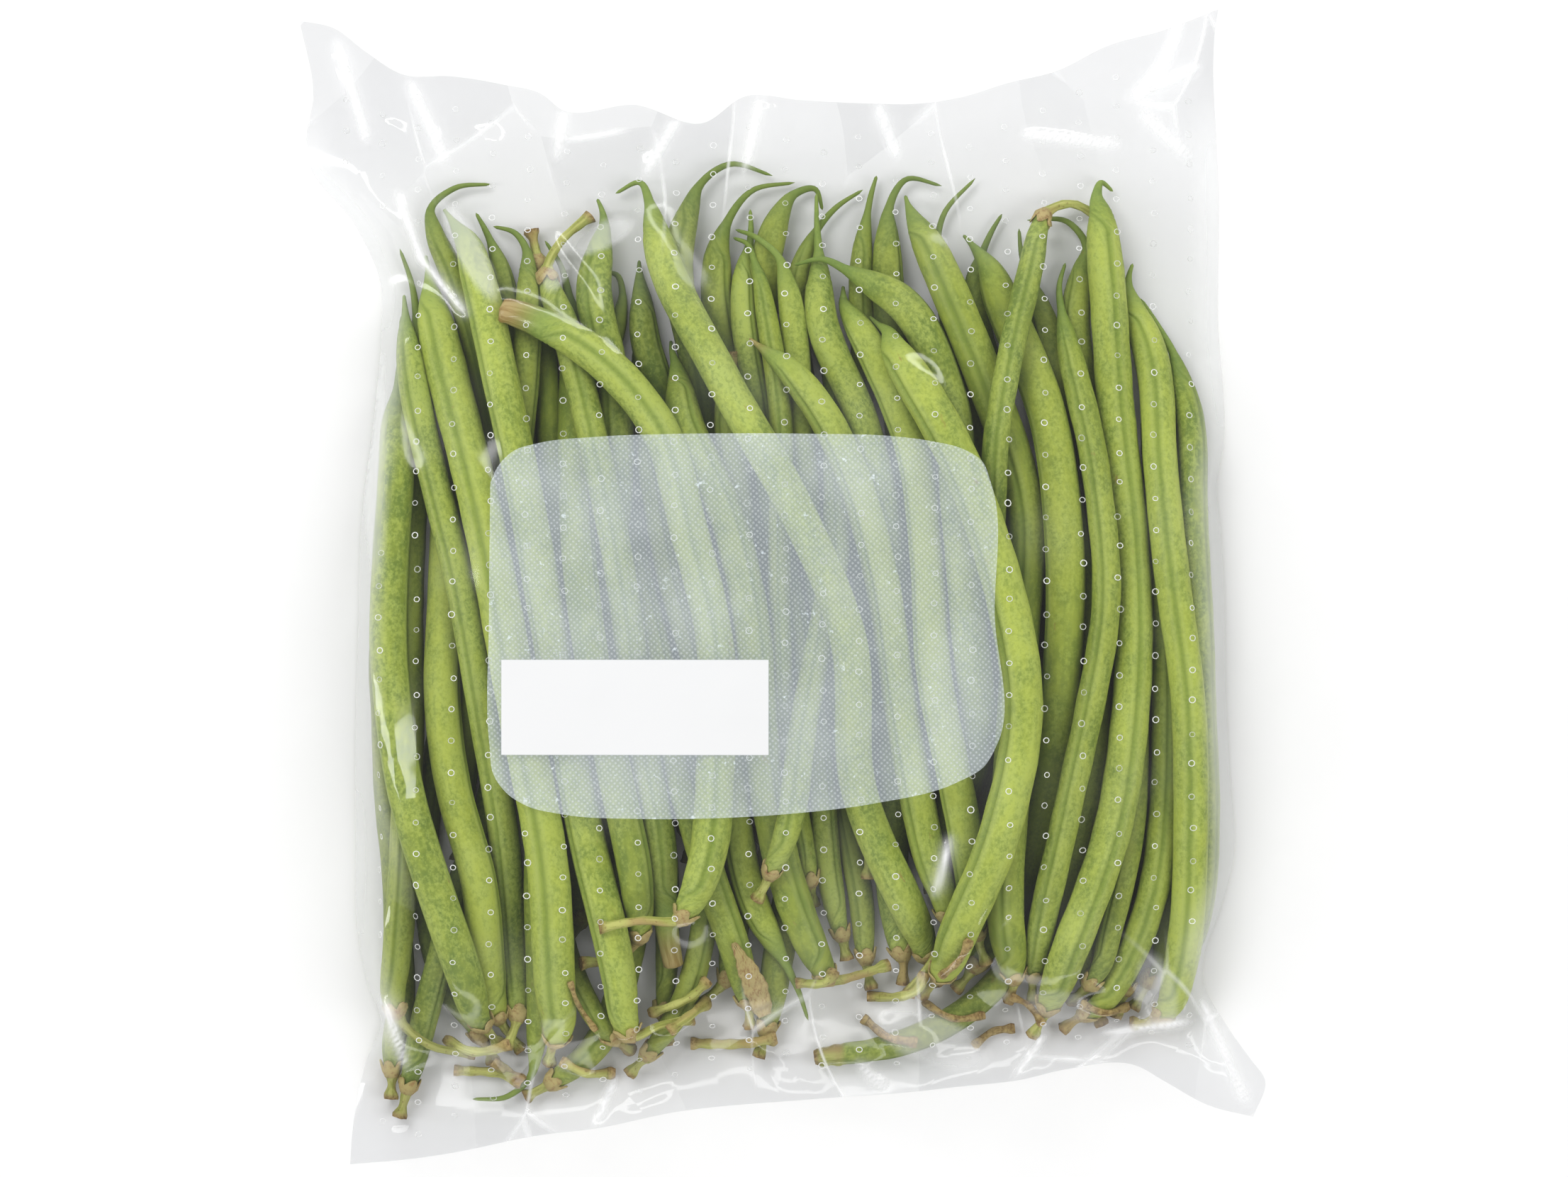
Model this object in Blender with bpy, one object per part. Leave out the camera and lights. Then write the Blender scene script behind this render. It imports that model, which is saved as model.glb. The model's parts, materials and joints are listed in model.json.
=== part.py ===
import math
import random

import bmesh
import bpy
import numpy as np
from mathutils import Matrix

# Every length below is in millimetres. Meshes are written in metres.
MM = 0.001

# Film bag: wall of the film, width of the end welds, height of the rounded side edge.
FILM_WALL = 0.6
WELD_WIDTH = 2.6
WELD_THICKNESS = 1.2
SIDE_EDGE_HEIGHT = 4.2
VENT_DIAMETER = 1.3
VENT_PITCH = 5.0

# Outline of the bag laid flat, read as four edges. X runs right and Y runs up.
TOP_EDGE = [(-85.9, 100.6), (-80.1, 99.4), (-73.9, 94.9), (-67.7, 91.1), (-58.6, 90.7),
            (-50.0, 89.3), (-42.8, 87.5), (-39.5, 84.9), (-26.1, 85.6), (-14.3, 82.4),
            (-6.6, 87.2), (3.0, 86.5), (14.9, 85.9), (24.5, 85.9), (31.6, 87.0),
            (40.2, 89.6), (48.1, 91.5), (58.1, 96.3), (67.3, 98.8), (77.3, 102.6)]
BOTTOM_EDGE = [(-76.9, -102.6), (-64.8, -101.5), (-58.4, -100.5), (-43.6, -97.5),
               (-33.0, -96.2), (-19.5, -93.4), (4.4, -91.1), (24.4, -89.6), (30.5, -88.9),
               (42.1, -87.6), (50.4, -85.7), (62.5, -85.0), (68.0, -88.0), (75.5, -92.1),
               (83.5, -94.2)]
LEFT_EDGE = [(-76.9, -102.6), (-76.5, -96.6), (-75.5, -90.3), (-74.0, -84.0), (-71.5, -77.6),
             (-73.6, -71.3), (-75.6, -60.8), (-75.9, -44.2), (-76.0, -27.6), (-75.5, -8.0),
             (-74.9, 12.0), (-72.9, 28.6), (-71.3, 47.3), (-71.4, 53.0), (-75.8, 63.8),
             (-84.2, 75.3), (-84.7, 79.6), (-83.5, 86.8), (-85.9, 100.6)]
RIGHT_EDGE = [(83.5, -94.2), (85.6, -87.6), (83.0, -83.9), (78.5, -77.5), (74.6, -69.6),
              (74.6, -67.0), (77.4, -57.9), (79.8, -49.6), (79.2, -31.8), (78.6, -19.3),
              (78.4, -2.0), (77.8, 9.1), (77.0, 18.5), (78.1, 24.5), (77.3, 47.8),
              (77.4, 71.6), (76.9, 81.2), (76.4, 92.4), (76.7, 98.5), (77.3, 102.6)]

# Grid of the film: distances of its columns from a side edge and of its rows from a weld.
SIDE_COLUMNS = [0.0, 0.8, 2.6, 5.4, 10.0]
END_ROWS = [0.0, WELD_WIDTH, 5.4, 9.0, 14.0, 20.5]
MIDDLE_COLUMNS = 13
MIDDLE_ROWS = 13

# Label: sheet thickness, gap to the film and its barrel-shaped outline.
LABEL_THICKNESS = 0.6
LABEL_GAP = 0.35
LABEL_OUTLINE = [(-51.4, 18.3), (-50.0, 21.2), (-47.2, 23.9), (-43.0, 25.2), (-33.0, 26.3),
                 (-20.0, 26.8), (-7.5, 26.9), (5.0, 26.8), (19.0, 26.4), (26.0, 25.5),
                 (31.5, 24.1), (34.8, 22.0), (36.3, 18.3), (37.0, -5.0), (37.4, -27.6),
                 (35.2, -31.4), (30.3, -34.3), (15.8, -38.0), (1.2, -39.8), (-13.0, -40.6),
                 (-25.0, -40.7), (-38.9, -39.9), (-45.1, -38.4), (-48.4, -36.3),
                 (-50.8, -33.0), (-51.5, -28.0), (-51.6, -5.0)]

# Gap kept between the pieces, and the slimmer side of a pod against its broad side.
CLEARANCE = 0.34
POD_FLATNESS = 0.88
POD_SIDES = 8
BODY_STATIONS = 4

# Beans: width of the pod, layer it lies in (0 at the back), then its line seen from above:
# stalk from its cut end, pod from the calyx to the neck, and the thin curved tail.
BEANS = [
    (6.5, 3, [(-50.3, -80.0)],
     [(-53, -76), (-57, -69), (-60.5, -61), (-64, -52), (-67.5, -42), (-70.5, -25),
      (-71.3, -10), (-70.6, 2), (-69, 20), (-67.8, 35)], [(-67.6, 42), (-68, 48)]),
    (7.5, 4, [(-41.6, -85)],
     [(-41.5, -80), (-40.5, -68), (-40.3, -57), (-42, -45), (-45.5, -32), (-48.5, -18),
      (-51, -5), (-54.5, 8), (-57, 20), (-60, 33), (-61.3, 45), (-62.5, 54)],
     [(-63.6, 59)]),
    (6.0, 3, [(-50.0, -81.5)],
     [(-48, -76.5), (-47.8, -68), (-48.2, -58), (-49.3, -48), (-52.5, -27), (-56, -6),
      (-61, 12), (-65, 31), (-65.8, 39), (-66.3, 47)], [(-66.8, 52)]),
    (7.0, 2, [(-47.0, -82.5)],
     [(-50.5, -76.5), (-52.3, -70), (-54.5, -60), (-57.3, -40), (-58.3, -15), (-59.5, -2),
      (-61, 10), (-62.5, 24)], [(-64, 31), (-66, 35)]),
    (6.0, 1, [(-54.0, -80.3), (-61.0, -78.2)],
     [(-67.8, -73), (-67.4, -62), (-66.5, -50), (-63.8, -25), (-63.8, -12), (-64.3, 0),
      (-66.2, 25), (-66.5, 38), (-66.3, 48)], [(-66.8, 55), (-68.2, 60)]),
    (5.0, 0, [(-68.2, -91.5)],
     [(-67.3, -87), (-65.6, -77), (-63.6, -62), (-62.8, -50), (-63.3, -38), (-65, -15),
      (-66.4, 0)], [(-67.2, 6), (-67.2, 11)]),
    (5.0, 0, [(-68.6, -94.0)],
     [(-66.8, -89), (-62, -76), (-58.5, -69), (-55, -60), (-52, -45), (-50, -30),
      (-49, -15), (-48, 0)], [(-47.5, 6), (-46, 11)]),
    (7.2, 4, [(-16.5, -75.5), (-22, -76.6)],
     [(-27.5, -78.8), (-29.5, -70), (-31.5, -60), (-35.3, -40), (-39.5, -15),
      (-43.3, 8), (-48.3, 31), (-53.5, 50), (-56.3, 58), (-59, 64)], [(-61, 67.8)]),
    (5.2, 1, [(-26.5, -82.5)],
     [(-30.5, -80), (-34.5, -75.7), (-40.5, -67), (-44.5, -52), (-50, -15), (-54, 25),
      (-58, 49), (-61, 56), (-63, 62), (-63.6, 66.5)],
     [(-61.5, 70), (-57, 70.8), (-52, 71.5)]),
    (6.8, 5, [(-33, -59.8), (-25, -58.6)],
     [(-18.5, -58.4), (-15.3, -52), (-12.8, -46), (-11, -28), (-10.6, -16), (-11.3, -5),
      (-15.8, 15), (-19, 24), (-24, 30), (-35, 39.7), (-45, 45.4)], [(-49, 46.8), (-52, 47.5)]),
    (6.3, 1, [(-19, -49)],
     [(-17.5, -44), (-16, -30), (-15, -10), (-16, 10), (-19.5, 28.5), (-21.8, 35),
      (-24.3, 48), (-25.4, 54.5)], [(-25.7, 58)]),
    (7.0, 4, [(27.6, -71.5)],
     [(25.5, -67), (24, -62), (17.5, -49.5), (14, -42), (12, -32), (11.5, -20),
      (10.5, -9), (7.3, 1), (-0.5, 19), (-7.8, 32.5), (-14.6, 44), (-20, 56),
      (-23.3, 67.5)], [(-24.6, 71.6), (-30, 69.8)]),
    (6.5, 3, [(21, -65), (15, -67)],
     [(9.3, -68), (7.3, -65), (2, -53), (-3, -40), (-4.5, -31), (-3.5, -20), (-2.3, -8),
      (-3.3, 4), (-6.2, 14), (-12.5, 31), (-15.5, 39)], [(-17, 44)]),
    (5.6, 1, [(-19.5, -74)],
     [(-13.2, -69.5), (-11.5, -60), (-11, -50), (-12, -30), (-14, -5), (-15.5, 20),
      (-16.5, 45), (-16, 60), (-13.8, 71)], [(-11, 75.2), (-2, 73)]),
    (6.0, 1, [(-9.5, -50)],
     [(-8, -45), (-7, -30), (-6, -10), (-6, 10), (-8, 30), (-10.3, 46), (-11, 57),
      (-9.3, 64.5)], [(-6, 70), (2, 71.8)]),
    (4.8, 2, [(12, -66)],
     [(11.4, -61.8), (10, -55.5), (7.6, -38), (4, -15), (0, 10), (-4, 33), (-6, 47),
      (-5.3, 61)], [(-6, 67)]),
    (4.6, 2, [(5, -56)],
     [(4, -51), (3, -40), (1, -20), (0, 0), (-1, 20), (-2, 45), (-4, 57)],
     [(-6, 61), (-9, 62)]),
    (5.6, 0, [(-4.5, -83.5)],
     [(-2.5, -79), (0, -72), (2.2, -64), (5, -46), (5, -25), (4, 0), (2, 20), (-1, 42),
      (-1.6, 59), (3, 68)], [(7, 69), (8.6, 64.8)]),
    (5.2, 1, [(15.5, -71.5)],
     [(15.6, -66.5), (13.6, -53.5), (11.7, -46), (9.5, -25), (8, -5), (6, 15), (2.5, 35),
      (1.8, 53), (5.3, 63)], [(9, 67.3), (14, 70.5)]),
    (5.0, 2, [(12.5, -52)],
     [(13, -46), (12, -30), (8, -10), (5, 10), (3, 30), (1.5, 48), (0, 57)],
     [(-4, 60.5), (-10, 62.8)]),
    (5.0, 3, [(-5, -55)],
     [(-4, -50), (-3, -30), (-1, -10), (1, 10), (1.8, 26), (2.4, 39), (3.4, 49)],
     [(5.3, 54.3)]),
    (6.8, 5, [(21.5, -71.5), (26, -65.5)],
     [(29.6, -57.5), (28.6, -48), (24.5, -28), (21, -8), (17, 9), (14.3, 17), (8.5, 29),
      (1.5, 37), (-1.8, 40.5)], [(-4.6, 43.4)]),
    (6.4, 3, [(21.4, -71)],
     [(20.7, -66), (18.7, -57), (17.5, -45), (19.5, -28), (19, -10), (17, 10), (13, 27),
      (9.2, 38), (8, 50), (6.8, 59.5)], [(6.1, 65), (5.7, 70)]),
    (6.0, 1, [(29, -54)],
     [(28, -48), (26, -30), (22, -10), (18, 10), (15, 30), (14, 50), (16.3, 66.5)],
     [(20, 72), (28, 71.2)]),
    (4.6, 0, [(17.5, -47)],
     [(17, -42), (15, -20), (12, 0), (10, 20), (11, 45), (14.5, 66)], [(16.5, 73.2)]),
    (6.5, 3, [(29, -62)],
     [(30.5, -57), (32, -48), (37.3, -33), (39.6, -24), (39.3, -5), (38.5, 15),
      (35, 28), (28, 39.5), (19.5, 48.7), (11.3, 54.6)], [(7, 57), (2.5, 56.3)]),
    (6.3, 4, [(36.5, -67)],
     [(35, -62), (34, -50), (33.5, -35), (32, -20), (30, 0), (26.5, 18), (21.5, 31.5),
      (15, 43.5), (12, 50)], [(10.5, 53.4)]),
    (7.3, 5, [(24.5, -72.5)],
     [(28, -68), (31, -63), (38, -51), (44.2, -37), (46.6, -19), (45.8, -9),
      (40, 10), (32.5, 26), (24, 38.3), (18, 44.5)], [(14, 48)]),
    (7.0, 2, [(39.5, -73)],
     [(40.5, -68), (43, -45), (43.8, -15), (42.3, 8), (41.5, 15.5), (37, 29.5), (30, 43),
      (24.6, 57), (20.3, 67.5)], [(19.3, 71)]),
    (5.0, 1, [(34.5, -57)],
     [(35, -52), (36, -30), (36.5, -10), (36, 10), (34, 30), (31.8, 46.5), (28.4, 58)],
     [(28.8, 66), (34, 72.6)]),
    (6.8, 2, [(30, -73.5)],
     [(34, -70), (41, -59), (46, -46), (48, -28), (48, -8), (45.2, 14), (41.6, 35),
      (37.8, 47), (33.5, 58.5)], [(31.8, 62.5)]),
    (5.0, 0, [(38, -63)],
     [(39, -58), (40, -40), (40, -20), (41, 0), (40, 20), (37.5, 36), (34.6, 48),
      (35.7, 59.5)], [(38.7, 66.2)]),
    (6.0, 1, [(43, -67)],
     [(45, -62), (48, -45), (49.5, -25), (49, -5), (48, 15), (46.3, 42), (43.3, 54)],
     [(41.9, 59), (41.7, 63.7)]),
    (4.8, 2, [(59.7, 68.7), (53, 70.6)],
     [(47.6, 67.8), (44.6, 57.5), (41.8, 45), (40, 25), (38, 5), (36, -15), (34, -33)],
     [(33, -38), (33.4, -43)]),
    (5.5, 1, [(48.8, -72.5)],
     [(50.5, -68), (53, -55), (54, -35), (54, -15), (52.5, 5), (50, 25), (48.6, 50),
      (52, 61)], [(50.5, 65.6), (43, 66.5)]),
    (5.7, 3, [(44.5, -74)],
     [(45.5, -69), (48, -60), (51, -45), (51.5, -28), (50.5, -8), (49.4, 11), (49.6, 33),
      (50.5, 47.5)], [(50.2, 52), (50, 57.7)]),
    (6.8, 4, [(44, -81)],
     [(46, -75.8), (49.3, -62), (53.1, -42), (55.7, -22), (57, 5), (56.4, 26),
      (55.8, 38), (55.3, 62), (54.8, 69)], [(56, 71.6), (58.4, 70.2)]),
    (6.3, 4, [(61.5, -77.3)],
     [(66, -76.2), (69, -71), (70, -58), (68.7, -40), (67.4, -18), (65.1, 6), (63, 28),
      (61.3, 45), (60.4, 53)], [(61.9, 57.4)]),
    (5.8, 3, [(67.5, -71.5)],
     [(69.3, -66.5), (71, -56), (72.8, -38), (73, -16), (72, 8), (70.7, 28), (68.2, 40.5)],
     [(66, 45), (62.8, 51)]),
    (4.6, 1, [(62, -76.5)],
     [(63.5, -71.5), (66.3, -55), (68, -30), (68.5, -10), (68, 8), (66.8, 28), (65.4, 38)],
     [(64.2, 42)]),
    (4.6, 1, [(50, -72)],
     [(52.3, -67.5), (57, -50), (61, -18), (61.7, 10), (62, 25), (61.5, 35)],
     [(61, 41), (59.6, 45)]),
    (5.5, 2, [(49.5, -80.5)],
     [(51.5, -75.8), (56, -65.5), (61.3, -50), (63.6, -30), (64, -5), (63, 16)],
     [(62.6, 24), (63.5, 30)]),
    (4.4, 0, [(57, -77.5)],
     [(58.5, -72.5), (62.3, -55), (65.5, -25), (66, 0), (65.5, 18)], [(65.3, 24), (66, 29)]),
    (5.0, 0, [(58.6, -82)],
     [(55.8, -78.4), (52, -70), (49, -55), (46.5, -40), (44.5, -20), (43, 0), (42, 17)],
     [(41.5, 23), (42.5, 28)]),
    (6.3, 3, [(-37, -70.4), (-31, -69)],
     [(-26.2, -63.8), (-27.4, -50), (-31, -29), (-35, -4), (-37.2, 20), (-38.7, 40),
      (-39.6, 51)], [(-41, 57), (-43.6, 61)]),
    (5.5, 3, [(-33, 66), (-37, 62.5)],
     [(-40.2, 55.5), (-35.3, 44), (-31.3, 30), (-26.8, 11), (-23.8, -12), (-22.8, -30),
      (-23, -42), (-20.6, -59)], [(-19.4, -64), (-18.3, -68)]),
    (6.0, 2, [(-1.6, -79.5)],
     [(-3, -75), (-8.8, -61.5), (-14.5, -49.5), (-20.3, -36), (-24, -22), (-27, -5),
      (-30, 12), (-33, 25)], [(-34.5, 31), (-34, 36)]),
    (6.5, 2, [(-9.5, 41)],
     [(-9, 36), (-10, 15), (-10.5, -5), (-9.8, -22), (-7.8, -42), (-3.8, -57.5),
      (-1.2, -65)], [(1, -69.5), (4.3, -77)]),
    (4.6, 1, [(-27.5, -86.5)],
     [(-25, -82.5), (-19.5, -72.5), (-16.8, -65), (-14.8, -50), (-17, -20), (-20, 0),
      (-23, 20), (-25, 33)], [(-26, 38), (-25, 43)]),
    (4.4, 0, [(-25, -83)],
     [(-24.3, -78), (-23, -68), (-22.5, -40), (-26, -20), (-30, 0), (-33, 20), (-35, 33)],
     [(-36, 39), (-35, 44)]),
    (4.6, 1, [(-51.5, -84.5)],
     [(-53, -80), (-58.5, -66), (-60.5, -50), (-61, -30), (-60, -10), (-58, 10),
      (-56, 22)], [(-55, 28), (-56, 33)]),
    (4.4, 2, [(-44.6, 63.5)],
     [(-44.3, 58.3), (-44.2, 50), (-43, 32), (-42, 10), (-42, -15), (-43, -40),
      (-44, -74), (-45, -86.5)], [(-48, -90.2), (-55.5, -91)]),
    (5.5, 0, [(-46.5, -91)],
     [(-42.3, -88.4), (-38, -84.5), (-34, -79), (-28.5, -58), (-28, -35), (-30, -10),
      (-33, 10), (-35, 26)], [(-36, 32), (-35, 38)]),
    (6.6, 2, [(-35, -60)],
     [(-34, -55), (-33, -40), (-31, -20), (-29, 0), (-28, 20), (-29.5, 39), (-32.3, 53),
      (-31.4, 64)], [(-33.2, 69)]),
    (4.6, 0, [(-31, -63)],
     [(-30, -58), (-27, -40), (-25, -20), (-25, 0), (-26, 20), (-27.5, 40), (-28.3, 54)],
     [(-30, 57.5), (-34.5, 58)]),
    (4.8, 0, [(5.4, -85)],
     [(10, -84.5), (14.5, -84), (22, -81.5), (28.5, -77.5), (35, -71), (42, -57),
      (45.5, -40), (46.5, -20), (46.5, -4)], [(46.5, 2), (47.5, 7)]),
    (5.2, 0, [(-40, -65)],
     [(-41, -60), (-43, -40), (-45, -15), (-47, 10), (-49, 35), (-50, 53), (-52, 61)],
     [(-54.7, 66.4)]),
    (5.4, 1, [(-54.5, -51)],
     [(-54, -45), (-52, -20), (-50, 0), (-47, 25), (-45, 45), (-45.3, 59)],
     [(-48, 62.6), (-52, 63.8)]),
]


def smooth_line(points, step):
    """Points about a step apart on a smooth line through the given ones, with their runs."""
    points = np.array(points, dtype=float)
    before = 2 * points[0] - points[1]
    after = 2 * points[-1] - points[-2]
    padded = np.vstack([before, points, after])
    line = [points[0]]
    knots = [0]
    for i in range(1, len(padded) - 2):
        p0, p1, p2, p3 = padded[i - 1:i + 3]
        count = max(2, int(np.linalg.norm(p2 - p1) / step))
        for k in range(1, count + 1):
            t = k / count
            line.append(0.5 * (2 * p1 + (p2 - p0) * t
                               + (2 * p0 - 5 * p1 + 4 * p2 - p3) * t * t
                               + (3 * p1 - p0 - 3 * p2 + p3) * t ** 3))
        knots.append(len(line) - 1)
    line = np.array(line)
    runs = np.concatenate([[0.0], np.cumsum(np.linalg.norm(np.diff(line, axis=0), axis=1))])
    return line, runs, knots


def bean_stations(width, stalk, pod, tail):
    """Plan positions and radii of the rings of one bean, from the cut stalk to the tail."""
    line, runs, knots = smooth_line(stalk + pod + tail, 0.5)
    calyx = runs[knots[len(stalk)]]
    neck = runs[knots[len(stalk) + len(pod) - 1]]
    end = runs[-1]
    body = np.linspace(calyx + 9.5, neck - 10.0, BODY_STATIONS + 2)
    at = [0.0, calyx * 0.55, calyx, calyx + 3.2, *body, neck - 3.8, neck,
          (neck + end) / 2, end]
    radius = width / 2
    radii = [1.15, 0.9, 1.45, 0.64 * radius, 0.92 * radius, *[radius] * BODY_STATIONS,
             0.86 * radius, 0.58 * radius, 0.3 * radius, 0.7, 0.42]
    spots = [[np.interp(run, runs, line[:, axis]) for axis in range(2)] for run in at]
    return np.array(spots), np.array(radii)


def closest_spots(start_a, end_a, start_b, end_b):
    """How far along many pairs of straight pieces their closest spots lie."""
    along_a = end_a - start_a
    along_b = end_b - start_b
    between = start_a - start_b
    aa = (along_a ** 2).sum(axis=1)
    bb = (along_b ** 2).sum(axis=1)
    ab = (along_a * along_b).sum(axis=1)
    a_between = (along_a * between).sum(axis=1)
    b_between = (along_b * between).sum(axis=1)
    spread = np.maximum(aa * bb - ab * ab, 1e-6)
    on_a = np.clip((ab * b_between - a_between * bb) / spread, 0, 1)
    on_b = np.clip((ab * on_a + b_between) / bb, 0, 1)
    on_a = np.clip((ab * on_b - a_between) / aa, 0, 1)
    return on_a, on_b


def side_limits(y):
    """Left and right edge of the bag at the given heights on the page."""
    left = np.array(LEFT_EDGE)
    right = np.array(RIGHT_EDGE)
    return np.interp(y, left[:, 1], left[:, 0]), np.interp(y, right[:, 1], right[:, 0])


def end_limits(x):
    """Lower and upper edge of the bag at the given places across the page."""
    low = np.array(BOTTOM_EDGE)
    high = np.array(TOP_EDGE)
    return np.interp(x, low[:, 0], low[:, 1]), np.interp(x, high[:, 0], high[:, 1])


def settle(spots, radii, layers):
    """Lets the beans sink from spread layers into a heap in which none touch."""
    beans, stations = radii.shape
    floor = FILM_WALL + CLEARANCE
    place = np.zeros((beans, stations, 3))
    place[:, :, :2] = spots
    rank = np.argsort(np.argsort(layers, kind="stable"), kind="stable")
    place[:, :, 2] = (np.array(layers) * 6.4 + rank * 0.12)[:, None] + 4.0
    rest = place.copy()
    lengths = np.linalg.norm(np.diff(spots, axis=1), axis=2)
    first = np.array([b * stations + k for b in range(beans) for k in range(stations - 1)])
    owner = first // stations
    thick = radii.reshape(-1)
    hold = np.where(np.array(layers) >= 3, 0.22, 0.07)[:, None, None]
    for step in range(1000):
        settling = step < 420
        ease = min(1.0, step / 420)
        flat = place.reshape(-1, 3)
        if step % 8 == 0:
            middle = (flat[first] + flat[first + 1]) / 2
            reach = np.linalg.norm(flat[first + 1] - flat[first], axis=1) / 2
            reach = reach + np.maximum(thick[first], thick[first + 1]) + 1.5
            apart = np.linalg.norm(middle[:, None] - middle[None], axis=2)
            near = apart < reach[:, None] + reach[None]
            near &= owner[:, None] < owner[None]
            pair_a, pair_b = np.nonzero(near)
            a0, b0 = first[pair_a], first[pair_b]
        if settling:
            place[:, :, 2] -= 0.26 - 0.2 * ease
            place[:, :, :2] += hold * (1 - 0.85 * ease) * (rest[:, :, :2] - place[:, :, :2])
        bend = 0.3 if settling else 0.08 * max(0.0, (850 - step) / 430)
        shift = place - rest
        gap_before = lengths[:, :-1, None]
        gap_after = lengths[:, 1:, None]
        even = (shift[:, :-2] * gap_after + shift[:, 2:] * gap_before) / (gap_before + gap_after)
        place[:, 1:-1] += bend * (even - shift[:, 1:-1])
        flat = place.reshape(-1, 3)
        on_a, on_b = closest_spots(flat[a0], flat[a0 + 1], flat[b0], flat[b0 + 1])
        spot_a = flat[a0] + on_a[:, None] * (flat[a0 + 1] - flat[a0])
        spot_b = flat[b0] + on_b[:, None] * (flat[b0 + 1] - flat[b0])
        reach_a = thick[a0] + on_a * (thick[a0 + 1] - thick[a0])
        reach_b = thick[b0] + on_b * (thick[b0 + 1] - thick[b0])
        away = spot_a - spot_b
        distance = np.maximum(np.linalg.norm(away, axis=1), 1e-4)
        deep = reach_a + reach_b + CLEARANCE - distance
        hit = deep > 0
        push = (away[hit] / distance[hit, None]) * (deep[hit, None] * 0.5)
        moved = np.zeros_like(flat)
        count = np.zeros(len(flat))
        for base, share, sign in ((a0, on_a, 1.0), (b0, on_b, -1.0)):
            part = share[hit]
            whole = (1 - part) ** 2 + part ** 2
            np.add.at(moved, base[hit], sign * push * ((1 - part) / whole)[:, None])
            np.add.at(moved, base[hit] + 1, sign * push * (part / whole)[:, None])
            np.add.at(count, base[hit], 1 - part)
            np.add.at(count, base[hit] + 1, part)
        flat += moved / np.maximum(1.0, count * 0.7)[:, None]
        left, right = side_limits(place[:, :, 1])
        raised = 0.16 * np.maximum(place[:, :, 2] - SIDE_EDGE_HEIGHT, 0)
        inset = radii + FILM_WALL + CLEARANCE + 0.5 + raised
        place[:, :, 0] = np.clip(place[:, :, 0], left + inset, right - inset)
        place[:, :, 2] = np.maximum(place[:, :, 2], floor + radii)
        low, high = end_limits(place[:, :, 0])
        inset = radii + END_ROWS[2] + FILM_WALL + CLEARANCE
        place[:, :, 1] = np.clip(place[:, :, 1], low + inset, high - inset)
    print("settled", beans, "beans, deepest", float(deep.max()),
          "top", float((place[:, :, 2] + radii).max()))
    return place


def collection(name, hidden=False):
    """A collection of the scene, for the parts or for the cutters."""
    made = bpy.data.collections.new(name)
    bpy.context.scene.collection.children.link(made)
    made.hide_render = hidden
    return made


def material(name, colour, roughness, alpha=1.0):
    """A plain Principled material."""
    made = bpy.data.materials.new(name)
    made.use_nodes = True
    shader = made.node_tree.nodes["Principled BSDF"]
    shader.inputs["Base Color"].default_value = (*colour, 1.0)
    shader.inputs["Roughness"].default_value = roughness
    shader.inputs["Metallic"].default_value = 0.0
    shader.inputs["Alpha"].default_value = alpha
    return made


def mesh_object(name, points, faces, group):
    """An object from points in millimetres and faces, put in a collection."""
    mesh = bpy.data.meshes.new(name)
    mesh.from_pydata([[float(v) * MM for v in point] for point in points], [], faces)
    mesh.update()
    made = bpy.data.objects.new(name, mesh)
    group.objects.link(made)
    return made


def tidy_mesh(made, turn_out=True):
    """Welds loose caps and points every face outwards."""
    mesh = bmesh.new()
    mesh.from_mesh(made.data)
    bmesh.ops.remove_doubles(mesh, verts=mesh.verts, dist=1e-6)
    if turn_out:
        bmesh.ops.recalc_face_normals(mesh, faces=mesh.faces)
        if mesh.calc_volume(signed=True) < 0:
            bmesh.ops.reverse_faces(mesh, faces=mesh.faces)
    mesh.to_mesh(made.data)
    mesh.free()


def apply_modifiers(made):
    """Replaces the object's mesh by the one its modifiers give."""
    depsgraph = bpy.context.evaluated_depsgraph_get()
    result = bpy.data.meshes.new_from_object(made.evaluated_get(depsgraph))
    made.modifiers.clear()
    made.data = result


def cut(made, cutter, operation="DIFFERENCE"):
    """Cuts one object with another."""
    boolean = made.modifiers.new(cutter.name, "BOOLEAN")
    boolean.operation = operation
    boolean.solver = "EXACT"
    boolean.object = cutter
    bpy.context.view_layer.update()
    apply_modifiers(made)


def bean(name, place, radii, turn, section, group, skin):
    """One bean: a bevelled line through its rings, in one piece from stalk to tail."""
    curve = bpy.data.curves.new(name, "CURVE")
    curve.dimensions = "3D"
    curve.twist_mode = "Z_UP"
    curve.bevel_mode = "OBJECT"
    curve.bevel_object = section
    curve.use_fill_caps = True
    curve.resolution_u = 1
    curve.render_resolution_u = 0
    line = curve.splines.new("POLY")
    line.points.add(len(place) - 1)
    for point, spot, radius in zip(line.points, place, radii):
        point.co = (*[float(v) * MM for v in spot], 1.0)
        point.radius = float(radius)
        point.tilt = turn
    made = bpy.data.objects.new(name, curve)
    group.objects.link(made)
    bpy.context.view_layer.update()
    depsgraph = bpy.context.evaluated_depsgraph_get()
    mesh = bpy.data.meshes.new_from_object(made.evaluated_get(depsgraph))
    bpy.data.objects.remove(made)
    solid = bpy.data.objects.new(name, mesh)
    solid.data.materials.clear()
    solid.data.materials.append(skin)
    group.objects.link(solid)
    tidy_mesh(solid)
    return solid


def edge_spot(edge, share, axis):
    """Spot on one edge of the bag at a share of its length along one axis."""
    edge = np.array(edge)
    value = edge[0, axis] + share * (edge[-1, axis] - edge[0, axis])
    other = np.interp(value, edge[:, axis], edge[:, 1 - axis])
    return np.array([value, other] if axis == 0 else [other, value])


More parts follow.
